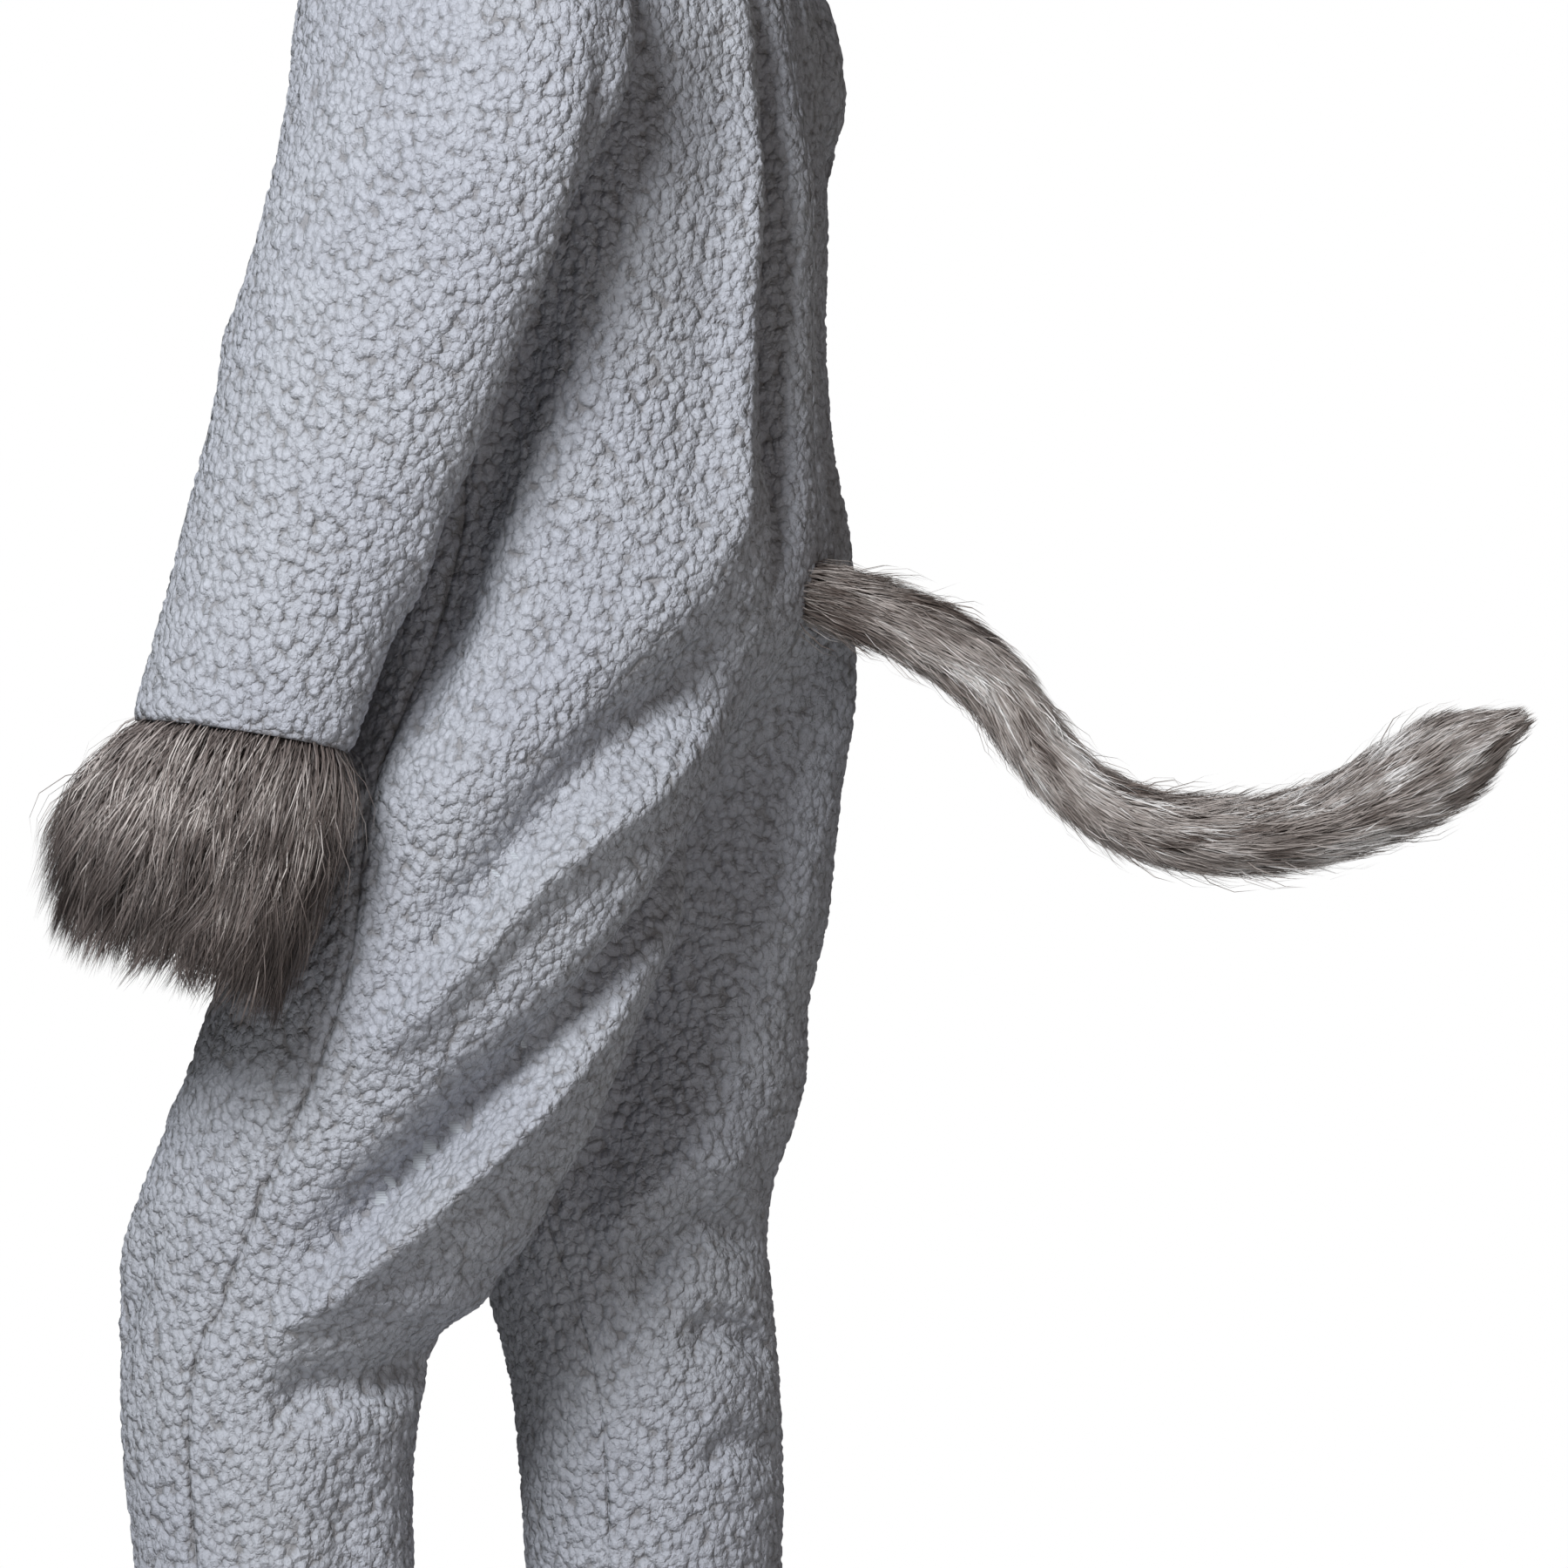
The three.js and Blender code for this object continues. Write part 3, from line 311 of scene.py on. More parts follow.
def sample(rows, at):
    columns = list(rows)
    keys = rows[columns[0]]
    at = np.asarray(at, float)
    sign = 1 if keys[1] > keys[0] else -1
    i = np.clip(np.searchsorted(sign * keys, sign * at) - 1, 0, len(keys) - 2)
    gaps = np.diff(keys)
    share = np.clip((at - keys[i]) / gaps[i], 0, 1)
    read = {}
    for name in columns:
        values = rows[name]
        slopes = np.diff(values) / gaps
        middle = (slopes[:-1] * gaps[1:] + slopes[1:] * gaps[:-1]) / (gaps[1:] + gaps[:-1])
        slope = np.concatenate([slopes[:1], middle, slopes[-1:]])
        s2 = share ** 2
        s3 = s2 * share
        read[name] = (values[i] * (2 * s3 - 3 * s2 + 1) + values[i + 1] * (3 * s2 - 2 * s3)
                      + slope[i] * gaps[i] * (s3 - 2 * s2 + share) + slope[i + 1] * gaps[i] * (s3 - s2))
    return read


def smooth(value):
    v = np.clip(value, 0, 1)
    return v * v * (3 - 2 * v)


# Height of the folds at an angle and a distance along, measured from each fold's path.
def foldHeight(folds, angle, along, perDegree, perAlong):
    height = np.zeros(np.broadcast(angle, along).shape)
    for lift, width, path in folds:
        nearest = np.full(height.shape, np.inf)
        place = np.zeros(height.shape)
        spans = len(path) - 1
        for i in range(spans):
            (a0, b0), (a1, b1) = path[i], path[i + 1]
            dx, dy = (a1 - a0) * perDegree, (b1 - b0) * perAlong
            px, py = (angle - a0) * perDegree, (along - b0) * perAlong
            share = np.clip((px * dx + py * dy) / (dx * dx + dy * dy), 0, 1)
            distance = np.hypot(px - share * dx, py - share * dy)
            closer = distance < nearest
            nearest = np.where(closer, distance, nearest)
            place = np.where(closer, (i + share) / spans, place)
        taper = smooth(place / 0.3 + 0.15) * smooth((1 - place) / 0.3 + 0.15)
        height += lift * taper * np.exp(-(nearest / width) ** 2)
    return height


# Body of the suit: each half is a loop round one leg, cut off by the centre plane above the crotch.
suit = {
    "pileDepth": 6,
    "crotchZ": -657,
    "crotchY": -27,
    "crotchBlend": 25,
    "crotchSettle": 80,
    "chestZ": -150,
    "underarmZ": -184,
    "underarmBlend": 90,
    "hemZ": -1109,
    "frontSpread": 0.4,
    "centreClearance": 1.2,
    "millimetresPerDegree": 1.8,
    "foldFade": 0.07,
    "armholeShare": {"front": 0.3, "back": 4 / 13},
    "neckShare": {"front": 4 / 7, "back": 6 / 9},
    "columns": {"front": 80, "back": 104},
    "rows": 468,
    "yokeRows": 52,
}
leftSections = table(
    "z out mid halfWidth halfDepth square seam",
    (-150, 0, 8, 128, 99, 0.1, -6), (-212, 0, 8, 130, 107, 0.09, -6), (-276, 0, 8, 131, 107, 0.08, -8),
    (-327, 0, 8, 133, 111, 0.06, -10), (-369, 0, 11, 138, 116, 0.04, -13), (-399, 2, 9, 142, 116, 0.02, -15),
    (-450, 22, -5, 133, 107, 0, -17), (-488, 48, -13, 115, 110, 0, -18), (-520, 62, -22, 102, 110, 0, -16),
    (-555, 70, -34, 94, 110, 0, -11), (-595, 76, -52, 87, 110, 0, -6), (-629, 78, -66, 82, 110, 0, -6),
    (-657, 78, -79, 78, 110, 0, -7), (-688, 78, -95, 75, 107, 0, -7), (-710, 78, -105, 72, 104, 0, -7),
    (-727, 78, -113, 70, 97, 0, -8), (-741, 78, -117, 68, 92, 0, -9), (-751, 78, -125, 67, 84, 0, -10),
    (-764, 78, -129, 67, 78, 0, -12), (-780, 78, -131, 66, 76, 0, -14), (-807, 78, -133, 65, 73, 0, -14),
    (-871, 78, -130, 63, 69, 0, -14), (-1109, 78, -122, 61, 67, 0, -10))
rightSections = table(
    "z out mid halfWidth halfDepth square seam",
    (-150, 0, 8, 128, 99, 0.1, -6), (-212, 0, 6, 130, 105, 0.09, -6), (-276, 0, 6, 131, 105, 0.08, -7),
    (-327, 0, 7, 133, 110, 0.06, -8), (-369, 0, 11, 138, 116, 0.04, -8), (-399, 2, 12, 142, 117, 0.02, -8),
    (-450, 22, 9, 133, 116, 0, -8), (-488, 48, 3, 115, 108, 0, -8), (-520, 62, -7, 102, 111, 0, -8),
    (-555, 70, -14, 94, 112, 0, -8), (-600, 76, -17, 87, 103, 0, -8), (-629, 78, -12, 82, 97, 0, -8),
    (-657, 78, -10, 78, 88, 0, -8), (-683, 78, -10, 74, 78, 0, -8), (-710, 78, -8, 70, 72, 0, -8),
    (-741, 78, -3, 66, 70, 0, -8), (-786, 78, 4, 64, 67, 0, -8), (-829, 78, 7, 63, 66, 0, -8),
    (-871, 78, 8, 62, 64, 0, -8), (-1109, 78, 8, 60, 62, 0, -8))
centreSeams = table(
    "z front back spread",
    (-58, -62, 84, 0.1), (-106, -84, 104, 0.1), (-150, -91, 112, 0.1), (-212, -99, 121, 0.09),
    (-276, -99, 121, 0.09), (-327, -103, 122, 0.1), (-369, -105, 124, 0.12), (-399, -106, 122, 0.15),
    (-456, -107, 86, 0.14), (-488, -107, 62, 0.14), (-520, -106, 40, 0.14), (-555, -104, 16, 0.14),
    (-600, -92, -8, 0.15), (-630, -72, -20, 0.15), (-648, -47, -25, 0.16), (-657, -27, -27, 0.16))
armholes = {
    "front": table("q x y z", (0, 118, -47, -150), (0.3, 123, -56, -118), (0.6, 130, -48, -78),
                   (0.82, 135, -27, -51), (1, 138, 4, -38)),
    "back": table("q x y z", (0, 123, 48, -150), (0.3, 126, 58, -118), (0.6, 131, 53, -78),
                  (0.82, 135, 34, -51), (1, 138, 4, -38)),
}
neck = {"side": (70, 4, 0), "front": (-62, -58), "back": (66, -14), "shoulderTip": (138, 4, -38)}

# Folds: lift, width, then the path as degrees round from the outer side (front is minus) and height.
leftFolds = [
    (-13, 15, ((60, -400), (57, -443), (35, -488), (19, -543), (9, -576))),
    (13, 13, ((77, -447), (52, -501), (32, -538), (18, -596), (4, -630))),
    (-30, 19, ((100, -468), (93, -518), (85, -550), (66, -602), (42, -642), (24, -690), (16, -728))),
    (17, 16, ((98, -526), (80, -584), (66, -622), (48, -672), (28, -730), (8, -768))),
    (-15, 13, ((110, -764), (65, -776), (38, -779), (14, -788))),
    (13, 10, ((71, -106), (63, -175), (60, -238), (59, -292), (56, -350), (50, -395))),
    (-19, 9, ((83, -106), (79, -173), (77, -236), (76, -299), (75, -346), (71, -405))),
    (8, 24, ((55, -347), (41, -405), (26, -447), (5, -488), (-5, -530))),
    (-12, 15, ((20, -215), (4, -301), (-8, -364), (-11, -426), (-8, -478))),
    (-7, 24, ((56, -805), (52, -900), (48, -1060))),
    (-5, 14, ((-38, -700), (-50, -740), (-62, -765))),
    (4, 14, ((-120, -690), (-100, -740), (-80, -760))),
]
rightFolds = [
    (-8, 10, ((81, -106), (78, -234), (75, -320), (72, -400))),
    (-10, 9, ((84, -716), (121, -702), (143, -718), (160, -744))),
    (10, 13, ((100, -681), (132, -672), (149, -693), (168, -723))),
    (-9, 9, ((84, -772), (117, -753), (143, -761))),
    (-12, 17, ((130, -520), (135, -552), (140, -608), (160, -659), (176, -700))),
    (-6, 10, ((75, -824), (118, -808), (140, -825))),
    (-6, 14, ((40, -560), (10, -610), (-20, -640))),
    (6, 16, ((50, -590), (20, -640), (-16, -672))),
]


# A point of the body's outer face. Turn is 0 at the centre front, 0.5 at the side seam, 1 at the centre back.
def bodyPoint(side, turn, z):
    turn, z = np.broadcast_arrays(turn, z)
    sections = leftSections if side > 0 else rightSections
    s = sample(sections, z)
    seams = sample(centreSeams, z)
    joined = z >= suit["crotchZ"]
    cut = np.arccos(np.clip(-s["out"] / s["halfWidth"], -1, 1))
    end = np.where(joined, np.pi - (np.pi - cut) * smooth((z - suit["crotchZ"]) / suit["crotchBlend"]), np.pi)
    seam = np.radians(s["seam"])
    front = turn < 0.5
    phi = np.where(front, -end + (seam + end) * turn * 2, seam + (end - seam) * (turn * 2 - 1))

    def ring(angle):
        swell = 1 + s["square"] * np.sin(2 * angle) ** 2
        return (s["out"] + s["halfWidth"] * np.cos(angle) * swell,
                s["mid"] + s["halfDepth"] * np.sin(angle) * swell)

    x, y = ring(phi)
    endX, endY = ring(np.where(front, -end, end))
    crotchMid = sample(sections, suit["crotchZ"])["mid"]
    settle = np.exp(-((suit["crotchZ"] - z) / suit["crotchSettle"]) ** 2)
    clearance = suit["centreClearance"]
    targetX = np.where(joined, 0, np.maximum(endX, clearance))
    seamY = np.where(front, seams["front"], seams["back"])
    targetY = np.where(joined, seamY, s["mid"] + (suit["crotchY"] - crotchMid) * settle)
    spread = np.where(front, suit["frontSpread"], seams["spread"])
    edge = np.minimum(turn, 1 - turn)
    near = np.clip(edge / spread, 0, 1)
    pull = (1 - near) ** 2 * (1 + 2 * near)
    x = x + (targetX - endX) * pull
    y = y + (targetY - endY) * pull
    folds = leftFolds if side > 0 else rightFolds
    lift = foldHeight(folds, np.degrees(phi), z, suit["millimetresPerDegree"], 1) * smooth(edge / suit["foldFade"])
    nx = np.cos(phi) / s["halfWidth"]
    ny = np.sin(phi) / s["halfDepth"]
    size = np.hypot(nx, ny)
    floor = np.where(joined, clearance * smooth(edge / 0.05), clearance)
    x = np.maximum(x + lift * nx / size, floor)
    y = y + lift * ny / size
    return np.stack([side * x, y, z], -1)


def turnOf(half, share):
    return share * 0.5 if half == "front" else 1 - share * 0.5


# How many of a panel's columns lie under the arm.
def underColumns(half):
    return round(suit["columns"][half] * suit["armholeShare"][half])


# Share is 0 on the centre line and 1 on the side seam; under the arm the cloth drops to the underarm.
def skinPoint(side, half, level, share):
    under = suit["armholeShare"][half]
    over = np.clip((1 - share) / under, 0, 1)
    drop = np.where(share > 1 - under, (suit["underarmZ"] - suit["chestZ"]) * (1 - over ** 1.5), 0)
    fade = np.clip(1 - (suit["chestZ"] - level) / suit["underarmBlend"], 0, 1) ** 2
    return bodyPoint(side, turnOf(half, share), level + drop * fade)


# The neck opening's edge and the shoulder seam, from the centre to the shoulder tip.
def topEdge(side, half, share):
    sideX, sideY, sideZ = neck["side"]
    tipX, tipY, tipZ = neck["shoulderTip"]
    neckY, neckZ = neck[half]
    part = suit["neckShare"][half]
    angle = np.minimum(share / part, 1) * np.pi / 2
    along = np.clip((share - part) / (1 - part), 0, 1)
    onNeck = share < part
    x = np.where(onNeck, sideX * np.sin(angle), sideX + (tipX - sideX) * along)
    y = np.where(onNeck, sideY + (neckY - sideY) * np.cos(angle), sideY + (tipY - sideY) * along)
    bow = sideZ + (tipZ - sideZ) * along + 3 * np.sin(along * np.pi)
    z = np.where(onNeck, sideZ + (neckZ - sideZ) * np.clip(np.cos(angle), 0, 1) ** 1.4, bow)
    return np.stack([side * x, y, z], -1)


def centrePoint(half, z):
    seamTop = centreSeams["z"][0]
    neckY, neckZ = neck[half]
    y = sample(centreSeams, np.minimum(z, seamTop))[half]
    over = np.clip((z - seamTop) / max(neckZ - seamTop, 1), 0, 1)
    return np.stack([np.zeros_like(z), y + (neckY - y) * over, z], -1)


# The yoke between the chest line, the centre seam, the armhole and the neck and shoulder.
def yokePoint(side, half, up, across):
    up, across = np.broadcast_arrays(up, across)
    chest = np.full(up.shape, float(suit["chestZ"]))
    edge = sample(armholes[half], up)
    start = {key: values[0] for key, values in armholes[half].items()}
    width = 1 - suit["armholeShare"][half]
    corner = bodyPoint(side, turnOf(half, width), float(suit["chestZ"]))
    settle = 1 - up
    hem = np.stack([side * edge["x"] + (corner[0] - side * start["x"]) * settle,
                    edge["y"] + (corner[1] - start["y"]) * settle, edge["z"]], -1)
    centre = centrePoint(half, chest + (neck[half][1] - chest) * up)
    low = bodyPoint(side, turnOf(half, across * width), chest)
    high = topEdge(side, half, across)
    lowCentre = centrePoint(half, chest)
    highCentre = topEdge(side, half, np.zeros(up.shape))
    highEdge = topEdge(side, half, np.ones(up.shape))
    share = across[..., None]
    fromLow = low + (centre - lowCentre) * (1 - share) + (hem - corner) * share
    fromHigh = high + (centre - highCentre) * (1 - share) + (hem - highEdge) * share
    weight = smooth(up)[..., None]
    return fromLow * (1 - weight) + fromHigh * weight


# Front zip: the front edges stand back from the centre down to the zip's foot.
zipSizes = {
    "foot": -375,
    "end": -383,
    "opening": 6.15,
    "firstShare": 0.1,
    "tapeDepth": 6.45,
    "tapeThickness": 1.0,
    "chainHalf": 3.0,
    "chainDepth": 2.4,
    "pitch": 2.9,
}


def opened(share, z, widthAtFirst):
    first = zipSizes["firstShare"]
    opening = zipSizes["opening"] * smooth((z - zipSizes["end"]) / (zipSizes["foot"] - zipSizes["end"]))
    start = first * opening / np.maximum(np.abs(widthAtFirst), 1)
    return np.where(share < first, start + share * (1 - start / first), share)


def panelPoints(side, half):
    columns = suit["columns"][half]
    share = np.linspace(0, 1, columns + 1)[None, :]
    level = np.linspace(suit["chestZ"], suit["hemZ"], suit["rows"] + 1)[:, None]
    up = np.linspace(0, 1, suit["yokeRows"] + 1)[:, None]
    across = np.linspace(0, 1, columns - underColumns(half) + 1)[None, :]
    if half == "front":
        first = zipSizes["firstShare"]
        share = opened(share, level, skinPoint(side, half, level, first)[..., 0])
        yokeShare = first / (1 - suit["armholeShare"][half])
        wide = yokePoint(side, half, up, yokeShare)[..., 0]
        start = yokeShare * zipSizes["opening"] / np.abs(wide)
        across = np.where(across < yokeShare, start + across * (1 - start / yokeShare), across)
    return skinPoint(side, half, level, share), yokePoint(side, half, up, across)


# Sleeve: rings that start on the armhole and settle to the arm's sections.
arm = {
    "rows": 200,
    "length": 400,
    "rightBack": 13,
    "rightFront": 18,
    "hemTilt": 9,
    "settle": 0.2,
    "tuck": 5,
    "tuckShare": 0.03,
}
sleeveSections = table(
    "q topX topY topZ underX underY underZ half",
    (0, 138, 4, -38, 127, -3, -184, 58), (0.06, 160, 3, -44, 130, 0, -189, 76),
    (0.12, 185, 2, -64, 134, 0, -197, 89), (0.2, 205, -3, -104, 137, -3, -210, 88),
    (0.32, 216, -13, -163, 139, -11, -232, 83), (0.45, 222, -28, -225, 141, -26, -268, 76),
    (0.6, 227, -46, -290, 145, -44, -318, 70), (0.74, 230, -65, -350, 150, -63, -368, 63),
    (0.87, 232, -82, -405, 155, -80, -418, 58), (1, 234, -97, -455, 160, -95, -465, 56))
sleeveFolds = [
    (-5, 16, ((70, 0.42), (110, 0.5), (150, 0.54))),
    (4, 18, ((60, 0.56), (100, 0.62), (150, 0.64))),
    (-5, 15, ((-60, 0.1), (-95, 0.2), (-120, 0.34))),
    (4, 16, ((-70, 0.7), (-110, 0.78), (-150, 0.82))),
]


def unit(vectors):
    return vectors / np.maximum(np.linalg.norm(vectors, axis=-1, keepdims=True), 1e-12)


def sleeveFrame(side, q):
    s = sample(sleeveSections, q)
    q = np.asarray(q, float)
    reach = np.sin(np.pi * np.clip(q / 0.45, 0, 1))
    back = arm["rightBack"] * q - arm["rightFront"] * reach if side < 0 else 0
    top = np.stack([side * s["topX"], s["topY"] + back, s["topZ"]], -1)
    under = np.stack([side * s["underX"], s["underY"] + back, s["underZ"]], -1)
    return (top + under) / 2, (top - under) / 2, s["half"]


def sleeveAxes(side, q):
    q = np.asarray(q, float)
    centre, up, half = sleeveFrame(side, q)
    step = 0.02
    along = unit(sleeveFrame(side, np.minimum(1, q + step))[0] - sleeveFrame(side, np.maximum(0, q - step))[0])
    front = unit(np.cross(along, up))
    front = np.where(front[..., 1:2] > 0, -front, front)
    return centre, up, half, along, front


def sleeveRing(side, q, angle):
    centre, up, half, along, front = sleeveAxes(side, q)
    lift = foldHeight(sleeveFolds, np.degrees(angle), q, 1.1, arm["length"]) * smooth(q / 0.08)
    grow = (1 + lift / half)[..., None]
    across = (half * np.sin(angle))[..., None]
    tilt = (arm["hemTilt"] * (np.sin(angle) + 0.7) * smooth((q - 0.7) / 0.3))[..., None]
    return centre + up * np.cos(angle)[..., None] * grow + front * across * grow + along * tilt


# The armhole's points from the underarm up the front, over the tip and down the back.
def armholeLoop(parts):
    def upSide(half):
        skin, yoke = parts[half]
        return np.concatenate([skin[0, :-underColumns(half) - 1:-1], yoke[:, -1]])
    front, back = upSide("front"), upSide("back")
    return np.concatenate([front, back[1:-1][::-1]]), len(front) - 1


def armholeAngles(points, tip):
    count = len(points)
    angles = np.zeros(count)
    for direction, steps in ((1, tip), (-1, count - tip)):
        at = (direction * np.arange(steps + 1)) % count
        gaps = np.linalg.norm(np.diff(points[at], axis=0), axis=1)
        lengths = np.concatenate([[0], np.cumsum(gaps)])
        angles[at] = direction * np.pi * (1 - lengths / lengths[-1])
    return angles


# The rings' places along the arm, closer together at the armhole.
def sleeveRows():
    return np.linspace(0, 1, arm["rows"] + 1) ** 1.25


def sleevePoints(side, loop, angles):
    q = sleeveRows()[:, None]
    angle = angles[None, :] + 0 * q
    q = q + 0 * angle
    start = sleeveRing(side, np.zeros_like(angles), angles)
    settle = (1 - smooth(q / arm["settle"]))[..., None]
    points = sleeveRing(side, q, angle) + (loop - start)[None] * settle
    points[..., 0] -= side * arm["tuck"] * (1 - smooth(q / arm["tuckShare"]))  # no gap at the armhole
    return points


# Meshes. A patch is quads with boundary loops, each running the way its quads do.
def gridQuads(index):
    return np.stack([index[:-1, :-1], index[:-1, 1:], index[1:, 1:], index[1:, :-1]], -1).reshape(-1, 4)


def panelNumbers(rows, columns, yokeRows, yokeColumns):
    skin = np.arange((rows + 1) * (columns + 1)).reshape(rows + 1, columns + 1)
    return skin, skin.size + np.arange(yokeRows * (yokeColumns + 1)).reshape(yokeRows, yokeColumns + 1)


def panelPatch(skin, above):
    yokeColumns = above.shape[1] - 1
    yoke = np.concatenate([skin[:1, :yokeColumns + 1], above])
    quads = np.concatenate([gridQuads(skin), gridQuads(yoke[::-1])])
    loop = np.concatenate([skin[:0:-1, 0], yoke[:-1, 0], yoke[-1, :-1], yoke[:0:-1, -1],
                           skin[0, yokeColumns:-1], skin[:-1, -1], skin[-1, :0:-1]])
    return quads, [loop]


def tubePatch(rows, count):
    index = np.arange((rows + 1) * count).reshape(rows + 1, count)
    closed = np.concatenate([index, index[:, :1]], 1)
    return gridQuads(closed), [index[0], index[-1, ::-1]]


def pointNormals(points, quads):
    corners = points[quads]
    face = np.cross(corners[:, 2] - corners[:, 0], corners[:, 3] - corners[:, 1])
    normals = np.zeros_like(points)
    for i in range(4):
        np.add.at(normals, quads[:, i], face)
    return unit(normals)


def meshObject(name, points, triangles, quads, finishes, slots=None, attributes=None):
    mesh = bpy.data.meshes.new(name)
    mesh.vertices.add(len(points))
    mesh.vertices.foreach_set("co", (np.asarray(points) / 1000).astype(np.float32).ravel())
    corners = np.concatenate([np.ravel(triangles), np.ravel(quads)]).astype(np.int32)
    mesh.loops.add(len(corners))
    mesh.loops.foreach_set("vertex_index", corners)
    few, many = len(triangles), len(quads)
    starts = np.concatenate([np.arange(few) * 3, few * 3 + np.arange(many) * 4]).astype(np.int32)
    mesh.polygons.add(few + many)
    mesh.polygons.foreach_set("loop_start", starts)
    mesh.polygons.foreach_set("use_smooth", np.ones(few + many, bool))
    if slots is not None:
        mesh.polygons.foreach_set("material_index", np.asarray(slots, np.int32))
    mesh.update(calc_edges=True)
    mesh.validate()
    for key, values in (attributes or {}).items():
        layer = mesh.attributes.new(key, "FLOAT", "POINT")
        layer.data.foreach_set("value", np.asarray(values, np.float32))
    for finish in finishes:
        mesh.materials.append(finish)
    piece = bpy.data.objects.new(name, mesh)
    bpy.context.scene.collection.objects.link(piece)
    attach(piece, "costume")
    return piece


# Cells with jittered centres: the distances to the nearest two, in cells.
def cellDistances(points, size, salt):
    p = points / size
    cell = np.floor(p).astype(np.int64)
    first = np.full(len(p), 9.0)
    second = np.full(len(p), 9.0)
    for offset in np.ndindex(3, 3, 3):
        near = cell + np.array(offset) - 1
        seed = near[:, 0] * 73856093 ^ near[:, 1] * 19349663 ^ near[:, 2] * 83492791 ^ salt * 2654435761
        centre = np.empty_like(p)
        for axis in range(3):
            seed = (seed * 1103515245 + 12345) & 0x7FFFFFFF
            mixed = (seed ^ (seed >> 11)) & 0xFFFF
            centre[:, axis] = near[:, axis] + 0.1 + 0.8 * mixed / 65535
        distance = np.linalg.norm(p - centre, axis=1)
        second = np.where(distance < first, first, np.minimum(second, distance))
        first = np.minimum(first, distance)
    return first, second


pileLook = {"curl": 6.4, "warp": 1.5, "depth": 2.1, "seamDip": 3.0, "seamWidth": 3.0, "seamShade": 1.8}


def curls(points, salt):
    turned = points[:, [1, 2, 0]]
    bent = points + pileLook["warp"] * np.sin(turned * 0.47 + 1.3) + 0.6 * np.sin(turned[:, [1, 2, 0]] * 1.1)
    first, second = cellDistances(bent, pileLook["curl"], salt)
    dome = np.clip(1 - first ** 2 * 1.1, 0, 1)
    return np.clip(dome * 0.55 + smooth((second - first) / 0.45) * 0.45, 0, 1)


def treeOf(places):
    tree = kdtree.KDTree(len(places))
    for i, place in enumerate(places):
        tree.insert(place, i)
    tree.balance()
    return tree


def edgeDistance(points, loops):
    tree = treeOf(points[np.unique(np.concatenate(loops))])
    return np.array([tree.find(place)[2] for place in points])


# A cloth piece: a fine pile face outside, a coarse backing inside, closed round its edges.
def clothShell(name, points, fine, coarse, pick, outward, node, wall, finish, depthAt):
    quads, loops = fine
    innerQuads, innerLoops = coarse
    normals = pointNormals(points, quads)
    flip = np.mean(np.sum(normals * outward(points), 1)) < 0
    normals = -normals if flip else normals
    depth, attributes = depthAt(points, loops)
    outer = points - normals * depth[:, None]
    inner = points[pick] - normals[pick] * wall
    centred = np.abs(points[:, 0]) < 0.05  # edges on the centre plane stay on it
    outer[centred, 0] = 0
    inner[centred[pick], 0] = 0
    count = len(outer)
    triangles = []
    for loop, innerLoop in zip(loops, innerLoops):
        rim = np.append(loop, loop[0])
        held = np.append(innerLoop, innerLoop[0]) + count
        for j, (a, b) in enumerate(zip(held[:-1], held[1:])):
            f = rim[4 * j:4 * j + 5]
            triangles += [(f[1], f[0], a), (f[2], f[1], a), (f[2], a, b), (f[3], f[2], b), (f[4], f[3], b)]
    triangles = np.array(triangles)
    quads = np.concatenate([quads, innerQuads[:, ::-1] + count])
    if flip:
        triangles, quads = triangles[:, ::-1], quads[:, ::-1]
    slots = np.concatenate([np.ones(len(triangles)), np.zeros(len(fine[0])), np.ones(len(innerQuads))])
    fill = np.zeros(len(inner))
    spread = {key: np.concatenate([values, fill]) for key, values in attributes.items()}
    points = np.concatenate([outer, inner])
    piece = meshObject(name, points, triangles, quads, [finish, backing], slots, spread)
    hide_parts(node)
    return piece


def pileDepthAt(salt, strength):
    def depthAt(points, loops):
        curl = curls(points, salt)
        distance = edgeDistance(points, loops)
        dip = np.exp(-(distance / pileLook["seamWidth"]) ** 2)
        depth = pileLook["depth"] * (1 - curl) * (1 - 0.7 * dip) + pileLook["seamDip"] * dip * strength
        # The seam value darkens the pile's colour along the seams: painted shade in their grooves. The pile value
        # lightens the curls' tops in the colour: painted light.
        return depth, {"pile": curl, "seam": strength * np.exp(-(distance / pileLook["seamShade"]) ** 2)}
    return depthAt


def makePanel(side, half, parts):
    name = f"{half}_{sideOf(side)}"
    skin, yoke = parts[half]
    columns = suit["columns"][half]
    yokeColumns = columns - underColumns(half)
    counts = np.array([suit["rows"], columns, suit["yokeRows"], yokeColumns])
    index, above = panelNumbers(*counts)
    fine, coarse = panelPatch(index, above), panelPatch(*panelNumbers(*(counts // 4)))
    pick = np.concatenate([index[::4, ::4].ravel(), above[3::4, ::4].ravel()])
    points = np.concatenate([skin.reshape(-1, 3), yoke[1:].reshape(-1, 3)])
    sections = leftSections if side > 0 else rightSections

    def outward(at):
        s = sample(sections, at[:, 2])
        away = at - np.stack([side * s["out"], s["mid"], at[:, 2]], -1)
        return away * (at[:, 2:] < -200)

    salt = 3 + side + (5 if half == "back" else 0)
    share = np.concatenate([np.tile(np.linspace(0, 1, columns + 1), suit["rows"] + 1),
                            np.tile(np.linspace(0, 1, yokeColumns + 1), suit["yokeRows"])])
    strength = 0.35 + 0.65 * smooth((share - 0.4) / 0.2)
    piece = clothShell(f"{name}_pile", points, fine, coarse, pick, outward, name, suit["pileDepth"], sherpa,
                       pileDepthAt(salt, strength))


